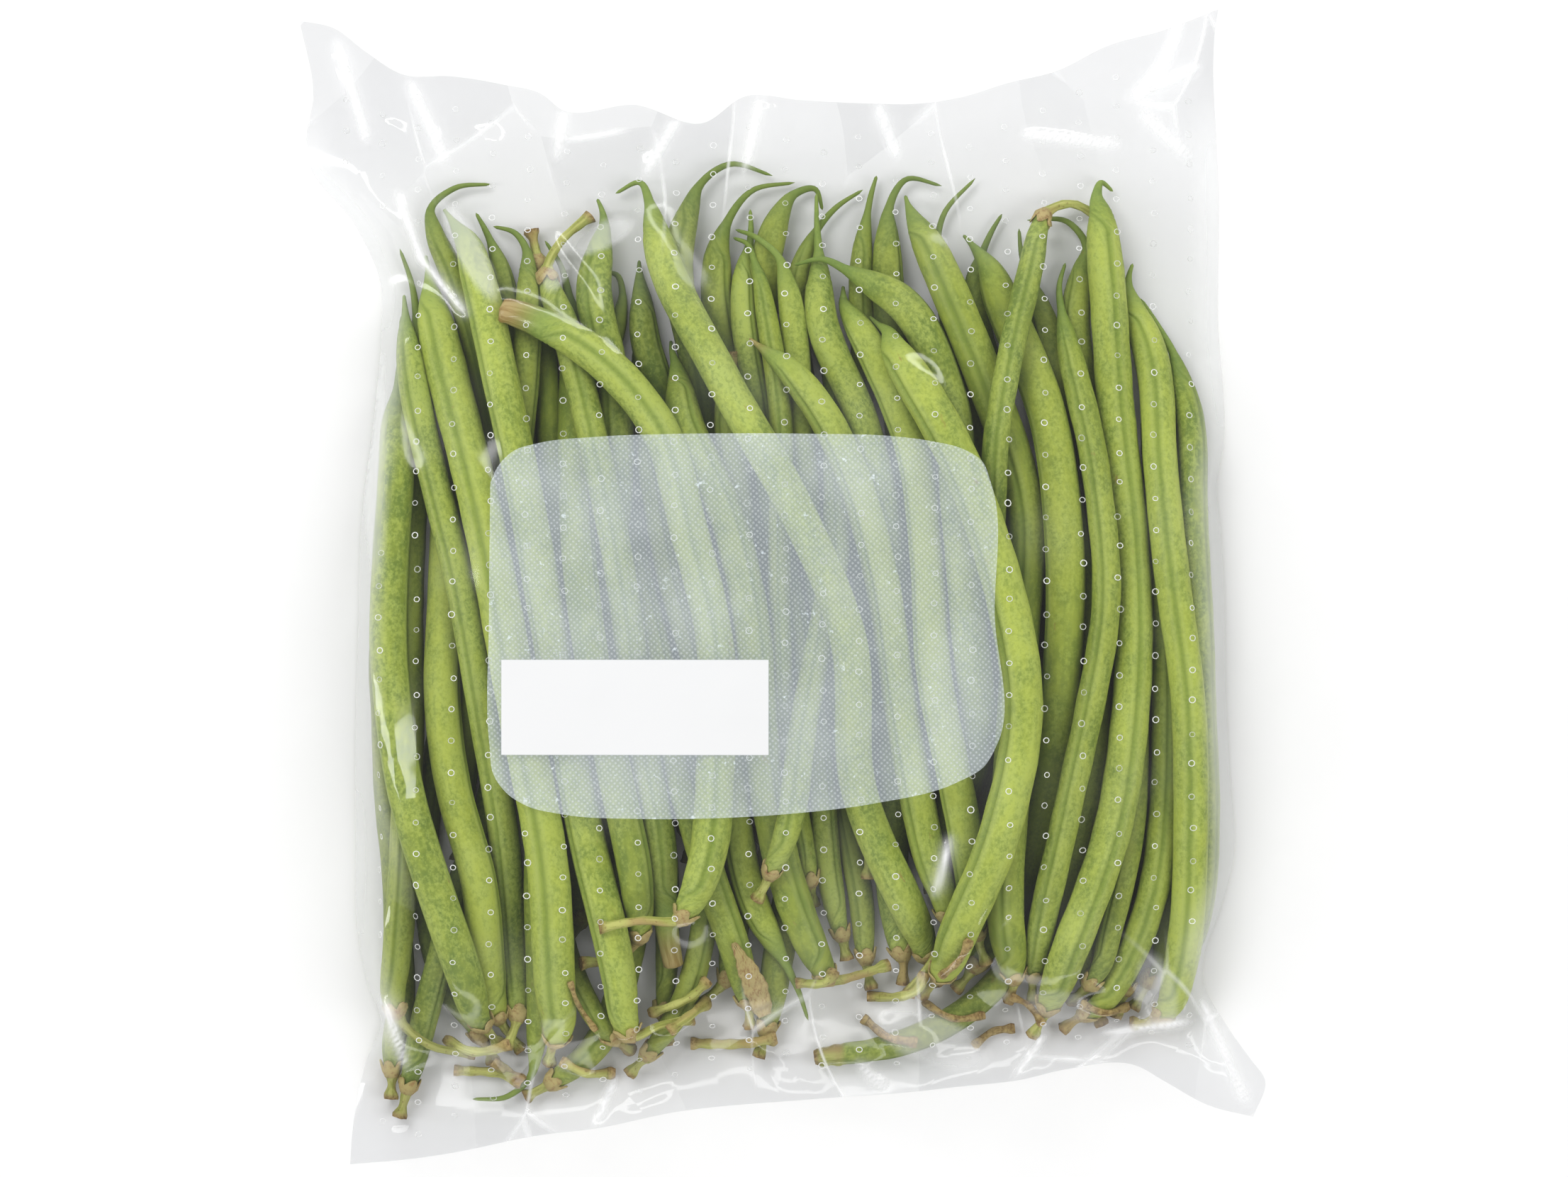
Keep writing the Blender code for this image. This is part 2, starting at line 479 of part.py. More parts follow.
def sheet_spots(columns, rows):
    """Plan positions of a grid stretched between the four edges of the bag."""
    bottom = [edge_spot(BOTTOM_EDGE, u, 0) for u in columns]
    top = [edge_spot(TOP_EDGE, u, 0) for u in columns]
    spots = np.zeros((len(rows), len(columns), 2))
    for j, v in enumerate(rows):
        left = edge_spot(LEFT_EDGE, v, 1)
        right = edge_spot(RIGHT_EDGE, v, 1)
        for i, u in enumerate(columns):
            corners = ((1 - u) * (1 - v) * np.array(BOTTOM_EDGE[0])
                       + u * (1 - v) * np.array(BOTTOM_EDGE[-1])
                       + (1 - u) * v * np.array(TOP_EDGE[0])
                       + u * v * np.array(TOP_EDGE[-1]))
            spots[j, i] = ((1 - v) * bottom[i] + v * top[i]
                           + (1 - u) * left + u * right - corners)
    return spots


def grid_shares(ends, middle, length):
    """Shares of a length for close-set end divisions and even ones between them."""
    low = [value / length for value in ends]
    high = [1 - share for share in reversed(low)]
    between = np.linspace(low[-1], high[0], middle + 2)[1:-1]
    return low + [float(share) for share in between] + high


def tops_over(spots, place, radii, cover):
    """Height needed at plan positions to clear every bean by the given cover."""
    needed = np.full(len(spots), -100.0)
    for line, thick in zip(place, radii):
        for k in range(len(line) - 1):
            start, end = line[k], line[k + 1]
            reach = max(thick[k], thick[k + 1]) + cover
            low = np.minimum(start, end)[:2] - reach
            high = np.maximum(start, end)[:2] + reach
            near = np.nonzero(((spots > low) & (spots < high)).all(axis=1))[0]
            if len(near) == 0:
                continue
            along = (end - start)[:2]
            share = ((spots[near] - start[:2]) @ along) / max(along @ along, 1e-9)
            share = np.clip(share, 0, 1)
            centre = start[:2] + share[:, None] * along
            away = np.linalg.norm(spots[near] - centre, axis=1)
            radius = thick[k] + share * (thick[k + 1] - thick[k]) + cover
            height = start[2] + share * (end[2] - start[2])
            rise = np.sqrt(np.maximum(radius ** 2 - away ** 2, 0))
            needed[near] = np.maximum(needed[near],
                                      np.where(away < radius, height + rise, -100.0))
    return needed


def taut_heights(spots, place, radii, edges):
    """Heights of a sheet drawn taut over the beans, with its four edges held."""
    rows, columns = edges.shape
    node = np.arange(rows * columns).reshape(rows, columns)
    low_left, low_right = node[:-1, :-1].ravel(), node[:-1, 1:].ravel()
    up_left, up_right = node[1:, :-1].ravel(), node[1:, 1:].ravel()
    corners = np.vstack([np.stack([low_left, low_right, up_right], axis=1),
                         np.stack([low_left, up_right, up_left], axis=1)])
    shares = np.array([(i, j, 7 - i - j) for i in range(8) for j in range(8 - i)]) / 7.0
    plan = spots.reshape(-1, 2)
    samples = np.einsum("sk,tkd->tsd", shares, plan[corners]).reshape(-1, 2)
    needed = tops_over(samples, place, radii, CLEARANCE + FILM_WALL)
    kept = needed > -50
    needed = needed[kept]
    index = np.repeat(corners, len(shares), axis=0)[kept]
    weight = np.tile(shares, (len(corners), 1))[kept]
    size = (weight ** 2).sum(axis=1)
    across = np.linalg.norm(np.diff(spots, axis=1), axis=2)
    down = np.linalg.norm(np.diff(spots, axis=0), axis=2)
    heights = edges.copy()
    for step in range(900):
        inner = heights[1:-1, 1:-1]
        pulls = [(heights[1:-1, :-2], across[1:-1, :-1]), (heights[1:-1, 2:], across[1:-1, 1:]),
                 (heights[:-2, 1:-1], down[:-1, 1:-1]), (heights[2:, 1:-1], down[1:, 1:-1])]
        total = sum(1 / length for _, length in pulls)
        drawn = sum(height / length for height, length in pulls) / total
        if step < 820:
            heights[1:-1, 1:-1] = inner + 0.5 * (drawn - inner)
        short = needed - (heights.ravel()[index] * weight).sum(axis=1)
        under = short > 0
        lift = np.zeros(rows * columns)
        for k in range(3):
            amount = short[under] * weight[under, k] / size[under]
            np.maximum.at(lift, index[under, k], amount)
        lift = lift.reshape(rows, columns)
        heights[1:-1, 1:-1] += lift[1:-1, 1:-1]
        heights = np.maximum(heights, edges)
    short = needed - (heights.ravel()[index] * weight).sum(axis=1)
    print("sheet short by", round(float(short.max()), 4))
    return heights


def loft(name, rings, front_count, back_columns, group):
    """A closed solid through rings whose front line has more points than the back line."""
    count = len(rings[0])
    points = [point for ring in rings for point in ring]
    faces = []
    for j in range(len(rings) - 1):
        for i in range(count):
            k = (i + 1) % count
            low, low_next = j * count + i, j * count + k
            up, up_next = low + count, low_next + count
            faces.append((low, low_next, up_next))
            faces.append((low, up_next, up))
    back_point = {column: count - 1 - i for i, column in enumerate(back_columns)}
    stops = [0, *back_columns, front_count - 1]
    for start, flip in ((0, False), ((len(rings) - 1) * count, True)):
        for here, ahead in zip(stops, stops[1:]):
            base = back_point.get(here, here)
            fan = [(base, k, k + 1) for k in range(here, ahead) if base != k]
            if ahead in back_point:
                fan.append((base, ahead, back_point[ahead]))
            for face in fan:
                face = tuple(start + index for index in face)
                faces.append(face[::-1] if flip else face)
    made = mesh_object(name, points, faces, group)
    tidy_mesh(made)
    return made


for old in list(bpy.data.objects):
    bpy.data.objects.remove(old)

parts = collection("green_bean_bundle")
cutters = collection("cutters", hidden=True)

# The beans.
laid = [bean_stations(width, stalk, pod, tail) for width, layer, stalk, pod, tail in BEANS]
radii = np.array([thick for spots, thick in laid])
place = settle(np.array([spots for spots, thick in laid]), radii,
               [layer for width, layer, stalk, pod, tail in BEANS])

section_curve = bpy.data.curves.new("pod_section", "CURVE")
section_curve.dimensions = "2D"
section_line = section_curve.splines.new("POLY")
section_line.use_cyclic_u = True
section_line.points.add(POD_SIDES - 1)
for k, point in enumerate(section_line.points):
    angle = 2 * math.pi * k / POD_SIDES
    point.co = (math.cos(angle) * MM, math.sin(angle) * POD_FLATNESS * MM, 0.0, 1.0)
section = bpy.data.objects.new("pod_section", section_curve)
section.display_type = "WIRE"
cutters.objects.link(section)

draw = random.Random(7)
for number, (width, layer, stalk, pod, tail) in enumerate(BEANS):
    shade = draw.uniform(-0.05, 0.05) + 0.035 * (layer - 2)
    skin = material(f"bean_skin_{number + 1:02d}",
                    (0.27 + shade, 0.44 + shade, 0.085 + shade * 0.4), 0.45)
    turn = draw.choice([0.0, 0.25, -0.3, 0.5, 1.1])
    bean(f"bean_{number + 1:02d}", place[number], radii[number], turn, section, parts, skin)

# The film bag: a taut sheet over the beans, a flat back, rounded sides and flat end welds.
columns = grid_shares(SIDE_COLUMNS, MIDDLE_COLUMNS, 155.0)
rows = grid_shares(END_ROWS, MIDDLE_ROWS, 188.0)
spots = sheet_spots(columns, rows)
row_count, column_count = len(rows), len(columns)
edge_rise = np.array([WELD_THICKNESS / 2, WELD_THICKNESS / 2, 1.0, 1.5, 2.2, 3.2])
side_height = np.full(row_count, SIDE_EDGE_HEIGHT)
side_height[:len(edge_rise)] = edge_rise
side_height[-len(edge_rise):] = edge_rise[::-1]


def side_bite(row, i):
    """How far a column lies inside the rounded side of the bag, 1 at the very edge."""
    distance = min(np.linalg.norm(spots[row, i] - spots[row, 0]),
                   np.linalg.norm(spots[row, i] - spots[row, -1]))
    return max(0.0, 1 - distance / side_height[row])


least = np.array([[side_height[row] * (1 + math.sqrt(1 - side_bite(row, i) ** 2))
                   for i in range(column_count)] for row in range(row_count)])
least[[0, 1, -2, -1], 1:-1] = WELD_THICKNESS
heights = least.copy()
heights[1:-1] = taut_heights(spots[1:-1], place, radii, least[1:-1])

back_columns = [1, 2, 3, 4, 6, 8, 10, 12, 14, 16, 18, 19, 20, 21]


def film_ring(row, inset):
    """One cross-section of the bag, or of its inside when inset by the wall."""
    ring = [(*spots[row, i], heights[row, i]) for i in range(column_count)]
    for i in reversed(back_columns):
        rise = side_height[row] * (1 - math.sqrt(1 - side_bite(row, i) ** 2))
        ring.append((*spots[row, i], rise))
    ring = np.array(ring)
    if inset == 0:
        return ring
    tangent = np.roll(ring, -1, axis=0) - np.roll(ring, 1, axis=0)
    normal = np.stack([tangent[:, 2], np.zeros(len(ring)), -tangent[:, 0]], axis=1)
    normal /= np.linalg.norm(normal, axis=1)[:, None]
    return ring + normal * inset


bag = loft("film_bag", [film_ring(row, 0) for row in range(row_count)],
           column_count, back_columns, parts)
inside = loft("bag_inside", [film_ring(row, FILM_WALL) for row in range(2, row_count - 2)],
              column_count, back_columns, cutters)
inside.display_type = "WIRE"


def film_height(x, y):
    """Height of the sheet's grid node nearest to a plan position."""
    away = np.linalg.norm(spots - np.array([x, y]), axis=2)
    return float(heights[np.unravel_index(np.argmin(away), away.shape)])


vents = []
for x in (-62.5, -37.5, -12.5, 12.5, 37.5, 62.5):
    for y in (-72.5, 47.5):
        high = film_height(x, y)
        bpy.ops.mesh.primitive_cylinder_add(
            vertices=8, radius=VENT_DIAMETER / 2 * MM, depth=9 * MM,
            location=(x * MM, y * MM, high * MM))
        vent = bpy.context.object
        vents.append(vent)
bpy.ops.object.select_all(action="DESELECT")
for vent in vents:
    vent.select_set(True)
bpy.context.view_layer.objects.active = vents[0]
bpy.ops.object.join()
vent_cutter = vents[0]
vent_cutter.name = "vent_cutter"
vent_cutter.display_type = "WIRE"
vent_cutter.hide_render = True
for owner_collection in list(vent_cutter.users_collection):
    owner_collection.objects.unlink(vent_cutter)
cutters.objects.link(vent_cutter)
cut(inside, vent_cutter, "UNION")
cut(bag, inside)
bag.data.materials.append(material("clear_film", (0.93, 0.94, 0.95), 0.12, 0.3))

# The label: a sheet that follows the film, die-cut to its barrel shape.
label_columns = range(5, column_count - 6)
label_rows = range(6, row_count - 6)
spots_of_label = [(*spots[j, i], heights[j, i] + LABEL_GAP) for j in label_rows for i in label_columns]
across = len(label_columns)
label_faces = []
for j in range(len(label_rows) - 1):
    for i in range(across - 1):
        low = j * across + i
        label_faces.append((low, low + 1, low + across + 1))
        label_faces.append((low, low + across + 1, low + across))
label = mesh_object("label", spots_of_label, label_faces, parts)
lift = bmesh.new()
lift.from_mesh(label.data)
raised = bmesh.ops.extrude_face_region(lift, geom=lift.faces[:])
top_points = [item for item in raised["geom"] if isinstance(item, bmesh.types.BMVert)]
bmesh.ops.translate(lift, verts=top_points, vec=(0, 0, LABEL_THICKNESS * MM))
bmesh.ops.recalc_face_normals(lift, faces=lift.faces)
lift.to_mesh(label.data)
lift.free()

outline_rings = [[(x, y, z) for x, y in reversed(LABEL_OUTLINE)] for z in (-5.0, 60.0)]
die = mesh_object("label_die", [point for ring in outline_rings for point in ring], [], cutters)
count = len(LABEL_OUTLINE)
sides = [(i, (i + 1) % count, count + (i + 1) % count, count + i) for i in range(count)]
die_faces = sides + [tuple(reversed(range(count))), tuple(range(count, 2 * count))]
die.data.clear_geometry()
die.data.from_pydata([[v * MM for v in point] for ring in outline_rings for point in ring],
                     [], die_faces)
tidy_mesh(die)
die.display_type = "WIRE"
cut(label, die, "INTERSECT")
label.data.materials.append(material("label_sheet", (0.86, 0.88, 0.86), 0.5))

# The origin is the middle of the resting face.
corners = [vertex.co for vertex in bag.data.vertices]
middle_x = (min(co.x for co in corners) + max(co.x for co in corners)) / 2
middle_y = (min(co.y for co in corners) + max(co.y for co in corners)) / 2
for made in parts.objects:
    made.data.transform(Matrix.Translation((-middle_x, -middle_y, 0.0)))
    made.data.update()
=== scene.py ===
import json
import math
import random

import bmesh
import bpy
import numpy as np
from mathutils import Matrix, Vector
from mathutils.bvhtree import BVHTree


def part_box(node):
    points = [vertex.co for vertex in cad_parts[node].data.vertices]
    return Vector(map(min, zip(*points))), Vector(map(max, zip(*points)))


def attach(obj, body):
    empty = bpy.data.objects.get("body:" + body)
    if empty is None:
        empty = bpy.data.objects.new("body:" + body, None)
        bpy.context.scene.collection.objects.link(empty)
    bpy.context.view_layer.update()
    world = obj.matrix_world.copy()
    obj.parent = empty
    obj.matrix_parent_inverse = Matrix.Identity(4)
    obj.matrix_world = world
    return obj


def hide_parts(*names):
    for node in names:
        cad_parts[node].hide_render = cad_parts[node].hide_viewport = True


mm = 0.001

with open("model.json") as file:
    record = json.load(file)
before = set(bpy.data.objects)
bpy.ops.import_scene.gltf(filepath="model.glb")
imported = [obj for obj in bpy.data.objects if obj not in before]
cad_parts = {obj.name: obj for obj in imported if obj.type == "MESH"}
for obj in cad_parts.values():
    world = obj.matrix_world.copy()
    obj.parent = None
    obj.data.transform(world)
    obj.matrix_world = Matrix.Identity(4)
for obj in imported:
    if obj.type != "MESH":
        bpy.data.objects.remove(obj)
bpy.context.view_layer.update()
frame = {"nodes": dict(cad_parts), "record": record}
nodes = frame["nodes"]
podNames = sorted(name for name in nodes if name.startswith("bean_"))
print("frame read:", len(podNames), "pods")


def deselectAll():
    for thing in bpy.context.selected_objects:
        thing.select_set(False)


def joined(things):
    # all the things in one mesh, under the first one's name
    deselectAll()
    for thing in things:
        thing.select_set(True)
    bpy.context.view_layer.objects.active = things[0]
    bpy.ops.object.join()
    return things[0]


def newest():
    return bpy.context.view_layer.objects.active


def thicken(thing, thickness, offset):
    wall = thing.modifiers.new("wall", "SOLIDIFY")
    wall.thickness = thickness * mm
    wall.offset = offset
    bpy.ops.object.modifier_apply(modifier="wall")


def wear(thing, material):
    thing.data.materials.clear()
    thing.data.materials.append(material)


def copyOf(source, name):
    made = bpy.data.objects.new(name, source.data.copy())
    bpy.context.scene.collection.objects.link(made)
    return made


def readSpots(thing):
    spots = np.zeros(len(thing.data.vertices) * 3)
    thing.data.vertices.foreach_get("co", spots)
    return spots.reshape(-1, 3) / mm


def writeSpots(thing, spots):
    thing.data.vertices.foreach_set("co", (spots * mm).ravel())
    thing.data.update()


def addValues(thing, name, *columns):
    # one value for each point, or three of them as a vector
    kind, field = ("FLOAT_VECTOR", "vector") if len(columns) == 3 else ("FLOAT", "value")
    layer = thing.data.attributes.new(name, kind, "POINT")
    values = np.stack(np.broadcast_arrays(*columns), axis=1)
    layer.data.foreach_set(field, values.astype(float).ravel())


def smoothStep(low, high, values):
    t = np.clip((values - low) / (high - low), 0, 1)
    return t * t * (3 - 2 * t)


def unit(vectors):
    return vectors / np.linalg.norm(vectors, axis=1)[:, None]


def lengthsAlong(points):
    # how far along its line each point lies
    return np.concatenate([[0], np.cumsum(np.linalg.norm(np.diff(points, axis=0), axis=1))])


def curveAt(knots, values, at):
    # smooth curve through unevenly spaced values
    knots = np.asarray(knots, dtype=float)
    values = np.asarray(values, dtype=float)
    flat = values.ndim == 1
    if flat:
        values = values[:, None]
    gaps = np.diff(knots)
    rises = np.diff(values, axis=0) / gaps[:, None]
    inner = (rises[:-1] * gaps[1:, None] + rises[1:] * gaps[:-1, None]) / (gaps[1:] + gaps[:-1])[:, None]
    slopes = np.vstack([rises[:1], inner, rises[-1:]])
    spot = np.clip(np.searchsorted(knots, at, side="right") - 1, 0, len(gaps) - 1)
    h = gaps[spot][:, None]
    t = ((at - knots[spot]) / gaps[spot])[:, None]
    made = ((2 * t ** 3 - 3 * t * t + 1) * values[spot] + (t ** 3 - 2 * t * t + t) * h * slopes[spot]
            + (3 * t * t - 2 * t ** 3) * values[spot + 1] + (t ** 3 - t * t) * h * slopes[spot + 1])
    return made[:, 0] if flat else made


def sweep(rails, fine, run, across, upward):
    # skin points round a line: its places, its broad directions and those square to them
    line, broad, side = (np.stack([np.interp(run, fine, rail[:, axis]) for axis in range(3)], axis=1)
                         for rail in rails)
    return line + broad * across[:, None] + side * upward[:, None]


def addNode(tree, kind, settings=None, **inputs):
    # inputs go by their name, or by their number as in0, in1 and so on
    made = tree.nodes.new("ShaderNode" + kind)
    for key, value in (settings or {}).items():
        setattr(made, key, value)
    for key, value in inputs.items():
        socket = made.inputs[int(key[2:]) if key.startswith("in") else key.replace("_", " ")]
        if isinstance(value, bpy.types.NodeSocket):
            tree.links.new(value, socket)
        else:
            socket.default_value = value
    return made


def mixColour(tree, share, first, second, blend="MIX"):
    return addNode(tree, "Mix", {"data_type": "RGBA", "blend_type": blend},
                   in0=share, in6=first, in7=second).outputs[2]


def calc(tree, kind, first, second, third=0.5, clamp=False):
    return addNode(tree, "Math", {"operation": kind, "use_clamp": clamp},
                   in0=first, in1=second, in2=third).outputs[0]


def plus(tree, first, second, clamp=False):
    return calc(tree, "ADD", first, second, clamp=clamp)


def times(tree, first, second):
    return calc(tree, "MULTIPLY", first, second)


def ramp(tree, value, low, high, start=0.0, end=1.0):
    return addNode(tree, "MapRange", {"interpolation_type": "SMOOTHSTEP"}, Value=value,
                   From_Min=low, From_Max=high, To_Min=start, To_Max=end).outputs[0]


def noise(tree, vector, scale, detail=3.0, rough=0.55, distortion=0.0):
    return addNode(tree, "TexNoise", Vector=vector, Scale=scale, Detail=detail,
                   Roughness=rough, Distortion=distortion).outputs["Fac"]


def scaled(tree, vector, size):
    return addNode(tree, "Mapping", Vector=vector, Scale=size).outputs[0]


def readAttribute(tree, name, output="Vector"):
    return addNode(tree, "Attribute", {"attribute_name": name}).outputs[output]


def objectPlace(tree):
    return addNode(tree, "TexCoord").outputs["Object"]


def separated(tree, vector):
    return addNode(tree, "SeparateXYZ", Vector=vector).outputs


def bumped(tree, height, strength, distance):
    return addNode(tree, "Bump", Strength=strength, Distance=distance,
                   Height=height).outputs[0]


def toSurface(tree, shader):
    addNode(tree, "OutputMaterial", Surface=shader.outputs[0])


def newMaterial(name):
    made = bpy.data.materials.new(name)
    made.use_nodes = True
    made.node_tree.nodes.clear()
    return made, made.node_tree


def newGroup(name, inputs, outputs):
    made = bpy.data.node_groups.new(name, "ShaderNodeTree")
    for label, kind in inputs:
        made.interface.new_socket(name=label, in_out="INPUT", socket_type=kind)
    for label, kind in outputs:
        made.interface.new_socket(name=label, in_out="OUTPUT", socket_type=kind)
    return made, made.nodes.new("NodeGroupInput"), made.nodes.new("NodeGroupOutput")


def makeSkinGroup():
    # fine speckle and longways streaks, as on the skin of a pod and its stalk
    labels = ("Broad", "Speckle", "Streak", "Blotch", "Height")
    tree, source, sink = newGroup("skinGrain", [("Vector", "NodeSocketVector")],
                                  [(label, "NodeSocketFloat") for label in labels])
    place = source.outputs["Vector"]
    broad = noise(tree, scaled(tree, place, (1, 1, 0.45)), 0.16, 2.0)
    speckle = noise(tree, place, 1.25, 4.0, 0.72)
    streak = noise(tree, scaled(tree, place, (1, 1, 0.09)), 1.2, 3.0, 0.6)
    blotch = noise(tree, scaled(tree, place, (1, 1, 0.55)), 0.42, 2.0, 0.6)
    fuzz = noise(tree, place, 4.2, 2.0, 0.6)
    height = plus(tree, times(tree, speckle, 0.6), times(tree, fuzz, 0.4))
    for label, value in zip(labels, (broad, speckle, streak, blotch, height)):
        tree.links.new(value, sink.inputs[label])
    return tree


def treeOf(things):
    spots = []
    faces = []
    for thing in things:
        start = len(spots)
        spots += [vertex.co.copy() for vertex in thing.data.vertices]
        faces += [[start + v for v in face.vertices] for face in thing.data.polygons]
    return BVHTree.FromPolygons(spots, faces)


def castDown(tree, px, py):
    # the first spot met from above, and the direction the skin faces there
    return tree.ray_cast(Vector((px * mm, py * mm, 0.2)), Vector((0, 0, -1)))[:2]


def heightsBelow(tree, plan, miss):
    heights = np.full(plan.shape[:-1], miss)
    for spot in np.ndindex(heights.shape):
        hit = castDown(tree, *plan[spot])[0]
        if hit is not None:
            heights[spot] = hit.z / mm
    return heights


def averaged(heights):
    padded = np.pad(heights, 1, mode="edge")
    return (padded[:-2, 1:-1] + padded[2:, 1:-1] + padded[1:-1, :-2] + padded[1:-1, 2:]) / 4


def widened(heights):
    padded = np.pad(heights, 1, mode="edge")
    return np.max([padded[1 + i:1 + i + heights.shape[0], 1 + j:1 + j + heights.shape[1]]
                   for i in (-1, 0, 1) for j in (-1, 0, 1)], axis=0)


podSet = {
    "around": [0, 5, 10, 17, 28, 44, 66, 90, 114, 136, 152, 163, 170, 175],  # degrees, half a turn
    "stations": [9, 16, 58, 16, 13],  # stalk, lower shoulder, body, upper shoulder, tail
    "shoulder": 14.0,
    "flatness": 0.88,
    "seamRidge": 0.035,
    "seamGroove": 0.075,
    "seedPitch": (8.2, 10.6),
    "seedSwell": (0.012, 0.045),
    "wander": 0.12,
    "seed": 400,
    "rollSeed": 900,
    "seamUpShare": 0.64,  # most pods lie with one seam upward
    "skinShift": 160.0,  # keeps the grain of one pod off the next
}


def ringsOfPod(node):
    # centres, broad directions and half widths of a packed pod's rings, stalk first
    mesh = bmesh.new()
    mesh.from_mesh(node.data)
    bmesh.ops.remove_doubles(mesh, verts=mesh.verts, dist=2e-6)
    mesh.verts.ensure_lookup_table()
    spots = np.array([vertex.co for vertex in mesh.verts]) / mm
    near = [[edge.other_vert(vertex).index for edge in vertex.link_edges] for vertex in mesh.verts]
    mesh.free()

    def spread(first):
        layers = [sorted(first)]
        seen = set(first)
        while True:
            following = {n for v in layers[-1] for n in near[v]} - seen
            if not following:
                return layers
            seen |= following
            layers.append(sorted(following))

    firstEnd = spread([0])[-1][0]
    ends = (firstEnd, spread([firstEnd])[-1][0])
    rings = []
    for end in ends:
        away = np.linalg.norm(spots - spots[end], axis=1)
        ring = np.argsort(away)[:8]
        rings.append((away[ring].max(), [int(v) for v in ring]))
    layers = spread(min(rings)[1])[::-1]
    if [len(layer) for layer in layers] != [8] * 14:
        raise RuntimeError(f"{node.name}: rings {[len(layer) for layer in layers]}")
    centres = []
    broads = []
    halves = []
    for layer in layers:
        ring = spots[layer]
        centre = ring.mean(axis=0)
        directions = np.linalg.svd(ring - centre)[2]
        broad = directions[0]
        if broads and broad @ broads[-1] < 0:
            broad = -broad
        centres.append(centre)
        broads.append(broad)
        halves.append(np.abs((ring - centre) @ broad).max())
    return np.array(centres), np.array(broads), np.array(halves)


def makePodMaster():
    # a straight tube: its rings are numbered along Z and its points by their turn
    deselectAll()
    segments = sum(podSet["stations"])
    bpy.ops.mesh.primitive_cylinder_add(vertices=2 * len(podSet["around"]), radius=1, depth=1)
    tube = newest()
    bpy.ops.object.mode_set(mode="EDIT")
    bpy.ops.mesh.select_mode(type="EDGE")
    for cuts in (7, segments // 8 - 1):
        bpy.ops.mesh.select_all(action="DESELECT")
        mesh = bmesh.from_edit_mesh(tube.data)
        for edge in mesh.edges:
            if abs(edge.verts[0].co.z - edge.verts[1].co.z) > 0.01:
                edge.select_set(True)
        bmesh.update_edit_mesh(tube.data)
        bpy.ops.mesh.subdivide(number_cuts=cuts)
    bpy.ops.mesh.select_all(action="SELECT")
    bpy.ops.mesh.normals_make_consistent(inside=False)
    bpy.ops.object.mode_set(mode="OBJECT")
    bpy.ops.object.shade_smooth_by_angle(angle=math.radians(50))
    # the papery cup at the foot of the pod, a closed lobed band
    deselectAll()
    bpy.ops.mesh.primitive_torus_add(major_segments=20, minor_segments=6, major_radius=3, minor_radius=0.5)
    cup = newest()
    bpy.ops.object.shade_smooth()
    return tube, cup


print("modelling the pod once")
podTube, podCup = makePodMaster()


def readPodMaster(tube, cup):
    # each point's ring, turn, shift along the pod and stand-off from its skin
    counts = podSet["stations"]
    turns = 2 * len(podSet["around"])
    spots = readSpots(tube) * mm
    ring = np.rint((spots[:, 2] + 0.5) * sum(counts))
    stage = np.interp(ring, np.concatenate([[0], np.cumsum(counts)]), range(len(counts) + 1))
    step = np.rint(np.arctan2(spots[:, 1], spots[:, 0]) / (2 * math.pi / turns)).astype(int) % turns
    turn = np.array(podSet["around"] + [180 + a for a in podSet["around"]], dtype=float)[step]
    cupSpots = readSpots(cup) * mm
    cupTurn = np.degrees(np.arctan2(cupSpots[:, 1], cupSpots[:, 0])) % 360
    across = np.hypot(cupSpots[:, 0], cupSpots[:, 1]) - 3
    row = np.rint(np.degrees(np.arctan2(cupSpots[:, 2], across)) / 60).astype(int) % 6
    lobe = 0.45 + 0.55 * np.abs(np.cos(np.radians(cupTurn * 2.5))) ** 0.7
    shifts = np.array([0.2, 2.1, 2.3, 0.5, -0.9, -0.9])[row]
    standOff = np.array([0.3, 0.5, 0.3, -0.16, -0.12, 0.1])[row]
    shifts = np.where(shifts > 1, shifts * lobe, shifts)
    tube.data.materials.append(None)
    tube.data.materials.append(None)
    cup.data.materials.append(None)
    faces = len(tube.data.polygons)
    joined([tube, cup])
    for face in tube.data.polygons[faces:]:
        face.material_index = 1
    empty = np.zeros(len(stage))
    return {"stage": np.concatenate([stage, np.ones(len(cupTurn))]),
            "turn": np.concatenate([turn, cupTurn]),
            "shift": np.concatenate([empty, shifts]),
            "off": np.concatenate([empty, standOff])}


podPoints = readPodMaster(podTube, podCup)

# tone 0 dark to 1 light, warmth 0 blue-green to 1 yellow, and browning of the tip
podShades = {"bean_10": (0.68, 0.4, 0.9), "bean_46": (0.5, 0.3, 0.8), "bean_12": (0.55, 0.45, 0.0),
             "bean_28": (0.72, 0.6, 0.0), "bean_22": (0.7, 0.55, 0.7), "bean_02": (0.75, 0.6, 0.0),
             "bean_38": (0.72, 0.6, 0.0), "bean_37": (0.62, 0.5, 0.0), "bean_01": (0.35, 0.3, 0.0),
             "bean_08": (0.55, 0.45, 0.0), "bean_26": (0.4, 0.35, 0.0), "bean_21": (0.6, 0.35, 0.5)}
bluntFeet = ("bean_56",)  # the stalk has come off
bluntTips = ("bean_10", "bean_46")  # the thin tip has come off


